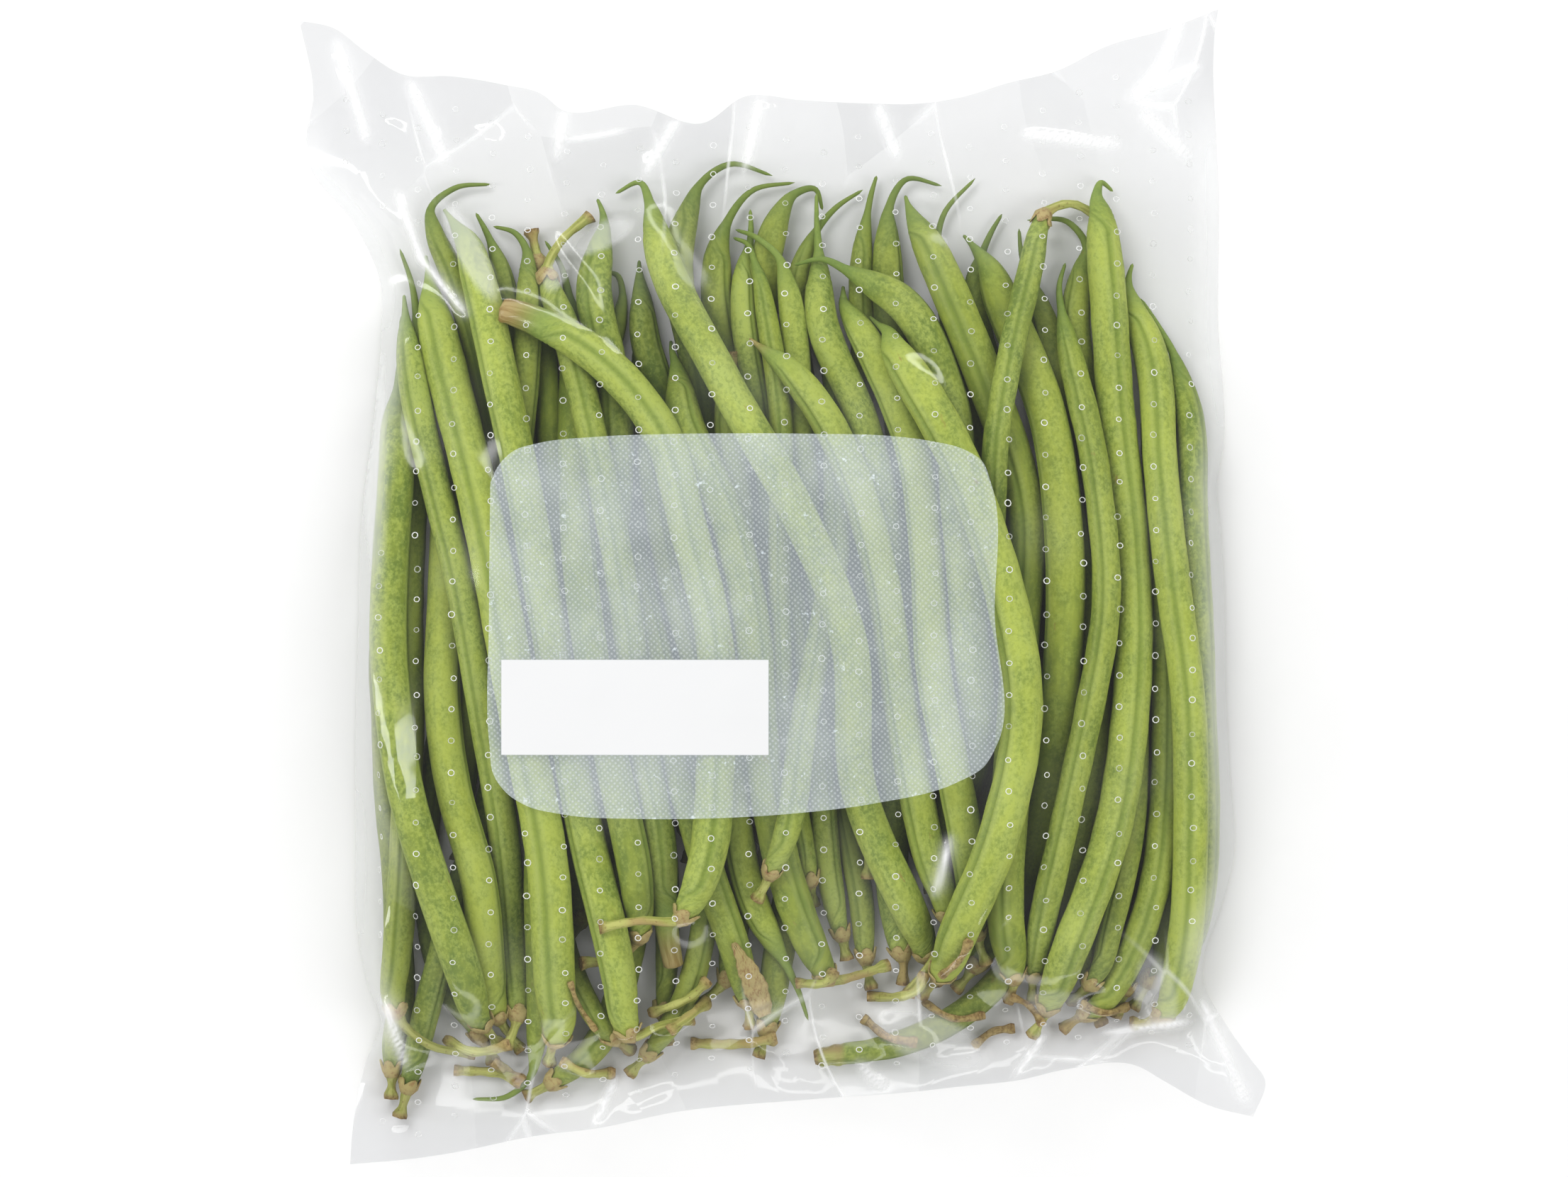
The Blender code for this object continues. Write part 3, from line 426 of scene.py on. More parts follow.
def makePod(index, name):
    node = nodes[name]
    chance = random.Random(podSet["seed"] + index)
    centres, broads, halves = ringsOfPod(node)
    runs = lengthsAlong(centres)
    foot, neck, end = runs[2], runs[11], runs[13]
    wide = float(np.median(halves[5:9]))
    knots = [0, 0.7, 1.6, 0.5 * foot, foot - 1.1, foot - 0.2, foot + 0.8, foot + 2.2, foot + 4.5, foot + 8,
             foot + 15, neck - 16, neck - 10, neck - 6.5, neck - 3.6, neck - 1.4, neck + 0.5,
             0.5 * (neck + end), end]
    radii = [1.22, 1.3, 0.82, 0.7, 0.86, 1.5, max(0.52 * wide, 1.4),
             *(share * wide for share in (0.66, 0.8, 0.92, 1, 0.99, 0.93, 0.82, 0.62, 0.42)),
             max(0.26 * wide, 0.62), 0.5, 0.26]
    if name in bluntFeet:
        radii[:8] = [share * wide for share in (0.5, 0.62, 0.68, 0.72, 0.76, 0.78, 0.8, 0.83)]
    if name in bluntTips:
        radii[-7:] = [share * wide for share in (0.96, 0.9, 0.84, 0.8, 0.76, 0.7, 0.62)]
    knots = np.maximum.accumulate(knots)
    shoulder = min(podSet["shoulder"], 0.25 * (neck - foot))
    run = np.interp(podPoints["stage"], range(6), [0, foot, foot + shoulder, neck - shoulder, neck, end])
    run = np.clip(run + podPoints["shift"], 0, end)
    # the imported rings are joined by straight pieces; the real pod bends smoothly
    fine = np.arange(0, end + 0.25, 0.5)
    line = curveAt(runs, centres, fine)
    ahead = unit(np.gradient(line, axis=0))
    broad = curveAt(runs, broads, fine)
    broad = unit(broad - (broad * ahead).sum(axis=1)[:, None] * ahead)
    side = np.cross(ahead, broad)
    turn = np.radians(podPoints["turn"])
    fromSeam = np.abs((podPoints["turn"] + 90) % 180 - 90)
    thin = np.interp(np.arange(-2, end + 2, 0.25), knots, radii)
    thin = np.convolve(np.pad(thin, 2, mode="edge"), [0.12, 0.23, 0.3, 0.23, 0.12], mode="valid")
    radius = np.interp(run, np.arange(-2, end + 2, 0.25), thin)
    tipRound = radii[-1] * (0.45 if name in bluntTips else 1.2)
    radius *= np.sqrt(np.clip(1 - (1 - np.minimum((end - run) / tipRound, 1)) ** 2, 0.02, 1))
    inPod = smoothStep(foot + 1, foot + 7, run) * (1 - smoothStep(neck - 7, neck - 1, run))
    inStalk = 1 - smoothStep(foot - 0.3, foot + 0.9, run)
    pitch = chance.uniform(*podSet["seedPitch"])
    swell = chance.uniform(*podSet["seedSwell"])
    seed = 0.5 + 0.5 * np.cos(2 * math.pi * (run - foot - chance.uniform(7, 12)) / pitch)
    inSeeds = smoothStep(foot + 6, foot + 14, run) * (1 - smoothStep(neck - 14, neck - 6, run))
    shape = 1 + inSeeds * swell * (seed ** 1.5 - 0.35) * (0.35 + 0.65 * np.sin(turn) ** 2)
    shape += inPod * 0.014 * np.sin(run / chance.uniform(6, 9) + chance.uniform(0, 6))
    shape += inPod * podSet["seamRidge"] * np.exp(-((fromSeam - 11) / 6.5) ** 2)
    shape -= inPod * podSet["seamGroove"] * np.exp(-(fromSeam / 5.0) ** 2)
    shape += inStalk * (0.08 * np.cos(5 * turn + chance.uniform(0, 6)) + 0.07 * np.sin(run * 2.3 + index))
    knobs = np.exp(-((run - foot + 0.1) / 1.3) ** 2) + (run < 2.2) * (podPoints["off"] == 0)
    shape += knobs * 0.13 * np.sin(3 * turn + run * 2.1 + index) * np.sin(2 * turn + 1.7 * index)
    if name in bluntTips:
        torn = np.sin(3 * turn + 1.3 * run) * np.cos(2 * turn + index)
        shape += smoothStep(end - 3.5, end, run) * 0.16 * torn
    flatness = 1 - (1 - podSet["flatness"]) * inPod
    inCup = podPoints["off"] != 0
    ragged = np.where(inCup, 1 + 0.45 * np.sin(2 * turn + index) * np.sin(3 * turn + 2.2 * index), 1)
    reach = radius * shape + podPoints["off"] * ragged
    if name in bluntFeet:
        reach = np.where(inCup, 0.3 * radius, reach)
    draw = random.Random(podSet["rollSeed"] + index)
    roll = draw.uniform(52, 128) if draw.random() < podSet["seamUpShare"] else draw.uniform(-25, 25)
    rolled = turn + math.radians(roll) * inPod
    spots = sweep((line, broad, side), fine, run, reach * np.cos(rolled), reach * flatness * np.sin(rolled))
    wander = inPod * podSet["wander"]
    spots[:, 0] += wander * np.sin(run / 7.3 + chance.uniform(0, 6))
    spots[:, 1] += wander * np.sin(run / 8.9 + chance.uniform(0, 6))

    pod = copyOf(podTube, "pod_" + name[5:])
    writeSpots(pod, spots)
    tone, warm, brown = podShades.get(name, (chance.uniform(0.12, 0.82), chance.uniform(0.1, 0.8), 0.0))
    addValues(pod, "podPlace", radius * np.cos(turn), radius * np.sin(turn),
              run + podSet["skinShift"] * index)
    seam = inPod * np.exp(-(fromSeam / 12.0) ** 2)
    rib = inPod * np.exp(-((fromSeam - 15) / 8) ** 2)
    addValues(pod, "podSeams", seam, rib, seed * inSeeds)
    inTail = smoothStep(neck - 9, neck + 1, run)
    cut = 1 - smoothStep(0.15, 1.3, run)
    addValues(pod, "podEnds", inStalk, inTail, cut)
    addValues(pod, "podShade", tone, warm, brown * smoothStep(neck - 2, end - 1, run))
    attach(pod, "root")
    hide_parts(name)
    return pod


skinGrain = makeSkinGroup()

skinSet = {
    "light": (0.43, 0.52, 0.115, 1),
    "dark": (0.165, 0.245, 0.036, 1),
    "yellow": (0.50, 0.57, 0.075, 1),
    "seam": (0.17, 0.25, 0.03, 1),
    "rib": (0.50, 0.58, 0.18, 1),
    "stalk": (0.56, 0.57, 0.17, 1),
    "stalkDark": (0.34, 0.37, 0.07, 1),
    "tail": (0.17, 0.27, 0.05, 1),
    "cut": (0.44, 0.30, 0.12, 1),
    "rust": (0.33, 0.19, 0.06, 1),
    "tan": (0.50, 0.36, 0.16, 1),
    "bark": (0.19, 0.10, 0.035, 1),
    # painted shade: the colour laid over skins that lie low in the heap
    "deep": (0.26, 0.34, 0.10, 1),
}


def deepened(tree, colour):
    # painted shade: skins lying low in the heap are painted darker, standing in for the shade between the
    # pods
    depth = readAttribute(tree, "podDepth", "Fac")
    darker = mixColour(tree, 1.0, colour, skinSet["deep"], "MULTIPLY")
    return mixColour(tree, ramp(tree, depth, -0.5, 8.0), colour, darker)


def makePodSkin(name, shade):
    made, tree = newMaterial(name)
    place = readAttribute(tree, "podPlace")
    marks = {}
    for label, parts in (("podSeams", ("seam", "rib", "seed")), ("podEnds", ("stalk", "tail", "cut")),
                         ("podShade", ("tone", "warm", "tip"))):
        marks.update(zip(parts, separated(tree, readAttribute(tree, label))))
    grain = addNode(tree, "Group", {"node_tree": skinGrain}, Vector=place)
    broad, speckle, streak = (grain.outputs[label] for label in ("Broad", "Speckle", "Streak"))
    tone = plus(tree, marks["tone"], ramp(tree, broad, 0.3, 0.7, -0.32, 0.32))
    tone = plus(tree, tone, ramp(tree, speckle, 0.34, 0.66, -0.42, 0.42))
    tone = plus(tree, tone, ramp(tree, streak, 0.3, 0.7, -0.1, 0.1), clamp=True)
    colour = mixColour(tree, tone, skinSet["dark"], skinSet["light"])
    blotch = ramp(tree, grain.outputs["Blotch"], 0.3, 0.7, -0.35, 0.35)
    warmth = plus(tree, marks["warm"], blotch, clamp=True)
    colour = mixColour(tree, times(tree, warmth, 0.55), colour, skinSet["yellow"])
    for part, share in (("rib", 0.3), ("seam", 0.7), ("tail", 0.7)):
        colour = mixColour(tree, times(tree, marks[part], share), colour, skinSet[part])
    stalk = mixColour(tree, ramp(tree, streak, 0.35, 0.6), skinSet["stalkDark"], skinSet["stalk"])
    stalk = mixColour(tree, ramp(tree, broad, 0.5, 0.64, 0.0, 0.8), stalk, skinSet["cut"])
    stalk = mixColour(tree, ramp(tree, speckle, 0.56, 0.7, 0.0, 0.75), stalk, skinSet["bark"])
    colour = mixColour(tree, marks["stalk"], colour, stalk)
    blot = noise(tree, scaled(tree, place, (1, 1, 0.5)), 0.33, 3.0, 0.6, 0.4)
    colour = mixColour(tree, ramp(tree, blot, 0.7, 0.78, 0.0, 0.6), colour, skinSet["rust"])
    ends = mixColour(tree, ramp(tree, speckle, 0.4, 0.62), skinSet["cut"], skinSet["bark"])
    colour = mixColour(tree, marks["cut"], colour, ends)
    broken = mixColour(tree, ramp(tree, streak, 0.42, 0.6), skinSet["rust"], skinSet["tan"])
    colour = mixColour(tree, marks["tip"], colour, broken)
    # painted shade: darker where the pod lies low in the heap, and darker again by the layer's shade factor
    colour = mixColour(tree, 1.0, deepened(tree, colour), (shade, shade, shade, 1), "MULTIPLY")
    rough = ramp(tree, speckle, 0.3, 0.75, 0.5, 0.68)
    toSurface(tree, addNode(tree, "BsdfPrincipled", Base_Color=colour, Roughness=rough,
                            Specular_IOR_Level=0.45,
                            Normal=bumped(tree, grain.outputs["Height"], 0.55, 0.00012)))
    return made


def makeCupPaper():
    made, tree = newMaterial("calyxPaper")
    place = readAttribute(tree, "podPlace")
    grain = addNode(tree, "Group", {"node_tree": skinGrain}, Vector=place)
    colour = mixColour(tree, grain.outputs["Broad"], (0.33, 0.29, 0.08, 1), (0.62, 0.48, 0.23, 1))
    colour = mixColour(tree, ramp(tree, grain.outputs["Speckle"], 0.45, 0.7), colour, (0.31, 0.18, 0.07, 1))
    # painted shade: the cup paper darkens with its depth in the heap, as the skins do
    colour = deepened(tree, colour)
    rough = ramp(tree, grain.outputs["Speckle"], 0.3, 0.75, 0.6, 0.85)
    toSurface(tree, addNode(tree, "BsdfPrincipled", Base_Color=colour, Roughness=rough,
                            Normal=bumped(tree, grain.outputs["Height"], 0.6, 0.0001)))
    return made


# painted shade: the middle and back layers get darker copies of the same skin, by their shade factor
podSkins = {"bean_front": makePodSkin("podSkinFront", 1.0),
            "bean_middle": makePodSkin("podSkinMiddleShaded", 0.92),
            "bean_back": makePodSkin("podSkinBackShaded", 0.75)}
calyxPaper = makeCupPaper()
podSlots = {part["node"]: part["material_slot"] for part in frame["record"]["subparts"]}
pods = []
for index, name in enumerate(podNames):
    pod = makePod(index, name)
    slot = podSlots[name]
    pod.data.materials[0] = podSkins[slot]
    pod.data.materials[1] = calyxPaper
    pods.append(pod)
print("pods made:", len(pods))

stalkSet = {
    # each loose stalk's line in plan and half its thickness
    "stalks": [
        ([(-23.6, -75.5), (-15.9, -72), (-13.4, -69.5)], 0.75),
        ([(-20.4, -78.4), (-13.4, -73.3)], 0.8),
        ([(-16.6, -81), (-7, -81), (-1.3, -79.8)], 0.85),
        ([(-58.6, -85.8), (-49.1, -86.8), (-46.5, -88)], 0.8),
        ([(-51.6, -84.2), (-46.5, -88)], 0.9),
        ([(-59.9, -80.4), (-54.8, -82.3), (-48.4, -81)], 0.8),
        ([(-39.5, -83.9), (-35, -86.1), (-29.9, -86.4)], 0.75),
        ([(-37.6, -69.5), (-36.4, -73.4), (-33.1, -78.4)], 0.42),
        ([(14, -76.5), (18.5, -79.7), (23.6, -80.6)], 0.7),
        ([(2, -70.1), (7.7, -69.5), (9, -67.6)], 0.75),
        ([(14.7, -72.7), (20, -72.6), (23.6, -71.2), (24.9, -68.2)], 0.8),
        ([(24.9, -73.8), (30.2, -76.4), (35.6, -75.9)], 0.6),
        ([(33.5, -81.6), (37.2, -78.9), (41.0, -78.4)], 0.65),
        ([(40.1, -72.5), (43.4, -74.2), (45.9, -77.6)], 0.55),
        ([(52.5, -73.6), (56.9, -75.3), (61.2, -74.2)], 0.6),
        ([(27.6, -68.6), (31.0, -65.4), (32.6, -61.9)], 0.6),
    ],
    "leaf": ((-8.9, -62.8), (-3.4, -76.0), 3.9),  # start, end and width
    "leafThickness": 0.18,
    "shift": (0.3, 0),
    "bottom": 0.2,
    "steps": 24,
    "skinShift": 90.0,
}


def layStalk(index, points, half, tree):
    # a short stalk laid over whatever lies under it
    points = np.array(points, dtype=float) + stalkSet["shift"]
    runs = lengthsAlong(points)
    fine = np.linspace(0, runs[-1], stalkSet["steps"])
    plan = curveAt(runs, points, fine)
    padded = np.pad(heightsBelow(tree, plan, stalkSet["bottom"]), 4, mode="edge")
    rest = np.array([padded[i:i + 9].max() for i in range(len(fine))]) + half + 0.15
    rest = np.convolve(np.pad(rest, 3, mode="edge"), np.ones(7) / 7, mode="valid")
    line = np.column_stack([plan, rest])
    ahead = unit(np.gradient(line, axis=0))
    side = unit(np.cross(ahead, (0, 0, 1)))
    upward = np.cross(side, ahead)
    share = podPoints["stage"] / 5
    turn = np.radians(podPoints["turn"])
    inTube = podPoints["off"] == 0
    run = share * runs[-1]
    knob = 0.3 * np.exp(-((run - 0.6) / 0.8) ** 2) + 0.45 * np.exp(-((runs[-1] - run - 0.8) / 0.9) ** 2)
    reach = half * (1 + knob + 0.08 * np.cos(5 * turn) + 0.1 * np.sin(run * 1.7 + index))
    reach = np.where(inTube, reach * (1 + knob * 0.3 * np.sin(3 * turn + index)), 0.5 * half)
    stalk = copyOf(podTube, "stalk")
    writeSpots(stalk, sweep((line, side, upward), fine, run, reach * np.cos(turn), reach * np.sin(turn)))
    addValues(stalk, "podPlace", half * np.cos(turn), half * np.sin(turn),
              run + stalkSet["skinShift"] * index)
    addValues(stalk, "podSeams", 0 * run, 0, 0)
    cut = np.clip(np.exp(-(run / 1.5) ** 2) + np.exp(-((runs[-1] - run) / 1.6) ** 2), 0, 1) * 0.9
    cut = np.maximum(cut, 0.85 if half < 0.72 else 0.0)
    addValues(stalk, "podEnds", 1, 0, cut)
    addValues(stalk, "podShade", 0.5, 0.5, 0 * run)
    return stalk


def layLeaf(tree):
    # a dry pointed leaf, cupped and ribbed
    deselectAll()
    bpy.ops.mesh.primitive_grid_add(x_subdivisions=12, y_subdivisions=40, size=2)
    leaf = newest()
    leaf.name = "dry_leaf"
    start, end, width = stalkSet["leaf"]
    start = np.array(start) + stalkSet["shift"]
    along = np.array(end) + stalkSet["shift"] - start
    across = np.array((-along[1], along[0])) / np.linalg.norm(along)
    spots = readSpots(leaf) * mm
    u, v = spots[:, 0], (spots[:, 1] + 1) / 2
    half = 0.5 * width * np.sin(np.clip(v * 0.86 + 0.02, 0, 1) * math.pi) ** 0.8 * (0.75 + 0.5 * v)
    half += 0.12 * np.sin(v * 23) + 0.08 * np.sin(v * 51)
    plan = start + v[:, None] * along + across * (u * half + 0.5 * np.sin(v * 3.1))[:, None]
    under = heightsBelow(tree, plan, stalkSet["bottom"])
    spine = heightsBelow(tree, start + v[:, None] * along, stalkSet["bottom"])
    keep = np.array([spine[np.abs(v - t) < 0.12].max() for t in v])
    rise = np.minimum(keep + 0.9, under.max() + 0.4) + 0.55 * (1 - u * u) + 0.14 * np.cos(u * 14)
    rise = np.maximum(rise, under + 0.25)
    writeSpots(leaf, np.column_stack([plan, rise]))
    thicken(leaf, stalkSet["leafThickness"], -1.0)
    bpy.ops.object.shade_smooth()
    addValues(leaf, "podPlace", *(readSpots(leaf) * (1.6, 0.5, 1)).T)
    wear(leaf, calyxPaper)
    return leaf


podTree = treeOf(pods)
looseStalks = joined([layStalk(index, points, half, podTree)
                      for index, (points, half) in enumerate(stalkSet["stalks"])])
looseStalks.name = "loose_stalks"
looseStalks.data.materials[0] = podSkins["bean_front"]
looseStalks.data.materials[1] = calyxPaper
dryLeaf = layLeaf(podTree)


depthSet = {"halfWidth": 95, "halfLength": 110, "smoothing": 16}  # a grid of 1 mm over the heap


def shadeByDepth(things, tree):
    # how far each point lies below the smoothed top of the heap, in mm, which drives the painted shade of
    # the skins
    wide, long = depthSet["halfWidth"], depthSet["halfLength"]
    px, py = np.meshgrid(np.arange(-wide, wide + 1), np.arange(-long, long + 1))
    tops = heightsBelow(tree, np.stack([px, py], axis=2), 0.0)
    for step in range(depthSet["smoothing"]):
        tops = averaged(tops)
    for thing in things:
        spots = readSpots(thing)
        column, row = spots[:, 0] + wide, spots[:, 1] + long
        i, j = column.astype(int), row.astype(int)
        a, b = column - i, row - j
        near = tops[j, i] * (1 - a) + tops[j, i + 1] * a
        far = tops[j + 1, i] * (1 - a) + tops[j + 1, i + 1] * a
        addValues(thing, "podDepth", near * (1 - b) + far * b - spots[:, 2])


shadeByDepth(pods + [looseStalks, dryLeaf], podTree)
for piece in (looseStalks, dryLeaf):
    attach(piece, "root")
bpy.data.objects.remove(podTube)
print("loose stalks and leaf laid")

filmSet = {
    # the four edges of the bag in plan
    "top": [(-85.9, 100.6), (-80.1, 99.4), (-73.9, 94.9), (-67.7, 91.1), (-58.6, 90.7), (-50.0, 89.3),
            (-42.8, 87.5), (-39.5, 84.9), (-26.1, 85.6), (-14.3, 82.4), (-6.6, 87.2), (3.0, 86.5),
            (14.9, 85.9), (24.5, 85.9), (31.6, 87.0), (40.2, 89.6), (48.1, 91.5), (58.1, 96.3),
            (67.3, 98.8), (77.3, 102.6)],
    "bottom": [(-76.9, -102.6), (-64.8, -101.5), (-58.4, -100.5), (-43.6, -97.5), (-33.0, -96.2),
               (-19.5, -93.4), (4.4, -91.1), (24.4, -89.6), (30.5, -88.9), (42.1, -87.6), (50.4, -85.7),
               (62.5, -85.0), (68.0, -88.0), (75.5, -92.1), (83.5, -94.2)],
    "left": [(-76.9, -102.6), (-76.5, -96.6), (-75.5, -90.3), (-74.0, -84.0), (-71.5, -77.6), (-73.6, -71.3),
             (-75.6, -60.8), (-75.9, -44.2), (-76.0, -27.6), (-75.5, -8.0), (-74.9, 12.0), (-72.9, 28.6),
             (-71.3, 47.3), (-71.4, 53.0), (-75.8, 63.8), (-84.2, 75.3), (-84.7, 79.6), (-83.5, 86.8),
             (-85.9, 100.6)],
    "right": [(83.5, -94.2), (85.6, -87.6), (83.0, -83.9), (78.5, -77.5), (74.6, -69.6), (74.6, -67.0),
              (77.4, -57.9), (79.8, -49.6), (79.2, -31.8), (78.6, -19.3), (78.4, -2.0), (77.8, 9.1),
              (77.0, 18.5), (78.1, 24.5), (77.3, 47.8), (77.4, 71.6), (76.9, 81.2), (76.4, 92.4),
              (76.7, 98.5), (77.3, 102.6)],
    "columns": 200,
    "rows": 236,
    "clear": 0.14,  # above the beans while the sheet settles
    "leastClear": 0.08,
    "edgeHeight": 0.3,
    "backHeight": 0.06,
    "cadDrop": 0.2,
    "settling": 90,
    "smoothing": 3,
    "pull": 0.55,
    "sag": 0.012,
    "creases": 170,
    "creasesNearEnds": 100,
    "creaseSeed": 12,
    # folds: start, end, height and half width of each crest
    "folds": [((-68, 69), (-64, 58), 1.5, 1.0), ((-64, 58), (-56.5, 48.8), 1.2, 0.9),
              ((-4.2, 86.0), (-6.6, 74.7), 1.7, 1.0), ((43.4, 80.4), (58.5, 78.4), 1.1, 0.9),
              ((64.1, 88), (72.9, 91.9), 1.3, 1.1), ((64.1, 83.6), (71.7, 76.4), 1.2, 1.4),
              ((57.5, -79), (71.3, -77.1), 1.3, 0.9), ((74.5, -74), (82, -91), 1.2, 0.9),
              ((27, -53), (29, -45), 0.9, 0.8), ((-70, -74), (-67, -84), 1.3, 1.0),
              ((-74, 80), (-79, 96), 1.2, 1.1), ((-60, 76), (-66, 89), 1.0, 1.0),
              ((-40, 77), (-39, 84), 1.0, 0.9), ((-24, 74), (-19, 83), 1.1, 1.0),
              ((20, 77), (17, 85), 1.0, 0.9), ((-30, -88), (-33, -95), 0.9, 0.9),
              ((14, -85), (18, -89), 0.8, 0.9), ((46, -80), (42, -86), 0.9, 0.9)],
    # patches of painted whitish reflection: middle, half width and half length, turn in degrees, strength
    "sheenPatches": [(26, -80, 13, 5, -24, 0.36), (-55.5, 59.5, 11, 2.6, -62, 0.42), (-32, 62, 7, 2.6, 25, 0.36),
              (-40, 55, 3.6, 2, 60, 0.3), (-72.5, 28, 2.6, 30, 2, 0.2), (66, -72, 4, 8, 12, 0.26),
              (49, -74, 7, 3, -10, 0.2)],
}


def evenEdge(points, count, shift):
    # points evenly spaced along a smooth edge
    points = np.array(points, dtype=float) + shift
    runs = lengthsAlong(points)
    return curveAt(runs, points, np.linspace(0, runs[-1], count))


def filmPlan():
    # plan places of the film's grid, between its four edges
    edges = np.array([point for side in ("top", "bottom", "left", "right") for point in filmSet[side]])
    low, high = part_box("film_bag")
    cadMiddle = np.array([low.x + high.x, low.y + high.y]) / 2 / mm
    shift = cadMiddle - (edges.min(axis=0) + edges.max(axis=0)) / 2
    top, bottom = (evenEdge(filmSet[side], filmSet["columns"], shift) for side in ("top", "bottom"))
    left, right = (evenEdge(filmSet[side], filmSet["rows"], shift) for side in ("left", "right"))
    u = np.linspace(0, 1, filmSet["columns"])[None, :, None]
    v = np.linspace(0, 1, filmSet["rows"])[:, None, None]
    plan = (1 - v) * bottom[None] + v * top[None] + (1 - u) * left[:, None] + u * right[:, None]
    corners = ((1 - u) * (1 - v) * bottom[0] + u * (1 - v) * bottom[-1]
               + (1 - u) * v * top[0] + u * v * top[-1])
    return plan - corners, shift


def foldHeight(x, y, fold):
    start, end, height, half = fold
    start = np.array(start, dtype=float)
    along = np.array(end, dtype=float) - start
    length = np.linalg.norm(along)
    along /= length
    run = (x - start[0]) * along[0] + (y - start[1]) * along[1]
    off = (x - start[0]) * -along[1] + (y - start[1]) * along[0]
    ends = smoothStep(-2.5, 1.5, run) * (1 - smoothStep(length - 1.5, length + 2.5, run))
    return height * ends * np.exp(-np.abs(off) / half)


def edgeDistance(plan):
    # how far each grid point lies from the edge of the bag, and from its ends alone
    rim = np.vstack([plan[0], plan[-1], plan[:, 0], plan[:, -1]])
    ends = np.vstack([plan[0], plan[-1]])
    flat = plan.reshape(-1, 2)
    reach = []
    for points in (rim, ends):
        nearest = np.full(len(flat), 1e9)
        for start in range(0, len(points), 60):
            away = np.linalg.norm(flat[:, None] - points[None, start:start + 60], axis=2).min(axis=1)
            nearest = np.minimum(nearest, away)
        reach.append(nearest.reshape(plan.shape[:2]))
    return reach


print("laying the film")
plan, filmShift = filmPlan()
toRim, toEnds = edgeDistance(plan)
cadFilm = heightsBelow(treeOf([nodes["film_bag"]]), plan, 1.2)
podTops = heightsBelow(treeOf(pods + [looseStalks, dryLeaf]), plan, -1.0)
podFloor = widened(podTops) + filmSet["clear"]
podFloor[podTops < 0] = np.minimum(podFloor, cadFilm)[podTops < 0]
lift = smoothStep(0, 9, toRim)
front = filmSet["edgeHeight"] + (cadFilm - filmSet["cadDrop"] - filmSet["edgeHeight"]) * lift
edge = toRim < 0.01
for step in range(filmSet["settling"]):
    front = front + filmSet["pull"] * (averaged(front) - front) - filmSet["sag"] * lift
    front = np.maximum(front, podFloor)
    front[edge] = filmSet["edgeHeight"]
leastFront = podTops + filmSet["leastClear"]
for step in range(filmSet["smoothing"]):
    front = np.where(edge, front, np.maximum(0.5 * front + 0.5 * averaged(front), leastFront))

x = plan[:, :, 0] - filmShift[0]
y = plan[:, :, 1] - filmShift[1]
free = smoothStep(0.5, 4, toRim)
raised = 1 - smoothStep(0, 3.5, toRim)
back = filmSet["backHeight"] + (filmSet["edgeHeight"] - filmSet["backHeight"]) * raised
slack = (1 - smoothStep(8, 27, toEnds)) * free
# painted highlights and reflections: white bands along the fold crests and whitish patches, carried to the
# film's shader
paintedSheen = np.zeros_like(front)
chance = random.Random(filmSet["creaseSeed"])
for crease in range(filmSet["creases"]):
    # straight creases: most run up and down near the two ends, the rest are faint and anywhere
    nearEnd = crease < filmSet["creasesNearEnds"]
    px = chance.uniform(-80, 80)
    py = chance.choice((-1, 1)) * chance.uniform(66, 98) if nearEnd else chance.uniform(-75, 75)
    turn = math.radians(90 + chance.gauss(0, 32)) if nearEnd else chance.uniform(0, math.pi)
    length = chance.uniform(5, 22)
    rise = chance.uniform(0.25, 1.0) * chance.choice((1, 1, -0.6))
    fold = ((px, py), (px + length * math.cos(turn), py + length * math.sin(turn)),
            rise if nearEnd else 0.2 * rise, chance.uniform(1.2, 4.0))
    front = front + foldHeight(x, y, fold) * (slack if nearEnd else free)
for fold in filmSet["folds"]:
    front = front + foldHeight(x, y, fold) * smoothStep(0.3, 3, toRim)
    # painted highlight: a white band along the fold's crest
    paintedSheen += foldHeight(x, y, fold[:2] + (1.3, 0.6))
for px, py, wide, long, angle, strength in filmSet["sheenPatches"]:
    turn = math.radians(angle)
    run = ((x - px) * math.cos(turn) + (y - py) * math.sin(turn)) / wide
    off = ((y - py) * math.cos(turn) - (x - px) * math.sin(turn)) / long
    paintedSheen += strength * (1 - smoothStep(0.7, 1.05, np.hypot(run, off)))
front = np.maximum(front, np.where(podTops > 0, leastFront, back + 0.05 * free))
# the pressed ribs of the end seals
ribs = 0.07 * (0.5 + 0.5 * np.cos(toEnds * 2 * math.pi / 1.5)) * (toEnds < 7.5)
front = front + ribs * smoothStep(0.3, 1.5, toRim)


def filmSheet(name, heights, upward):
    deselectAll()
    across, up = filmSet["columns"] - 1, filmSet["rows"] - 1
    bpy.ops.mesh.primitive_grid_add(x_subdivisions=across, y_subdivisions=up, size=2)
    sheet = newest()
    sheet.name = name
    spots = readSpots(sheet) * mm
    column = np.rint((spots[:, 0] + 1) / 2 * across).astype(int)
    row = np.rint((spots[:, 1] + 1) / 2 * up).astype(int)
    writeSpots(sheet, np.column_stack([plan[row, column], heights[row, column]]))
    addValues(sheet, "filmPlace", toRim[row, column], toEnds[row, column], paintedSheen[row, column] * upward)
    if not upward:
        bpy.ops.object.mode_set(mode="EDIT")
        bpy.ops.mesh.select_all(action="SELECT")
        bpy.ops.mesh.flip_normals()
        bpy.ops.object.mode_set(mode="OBJECT")
    return sheet


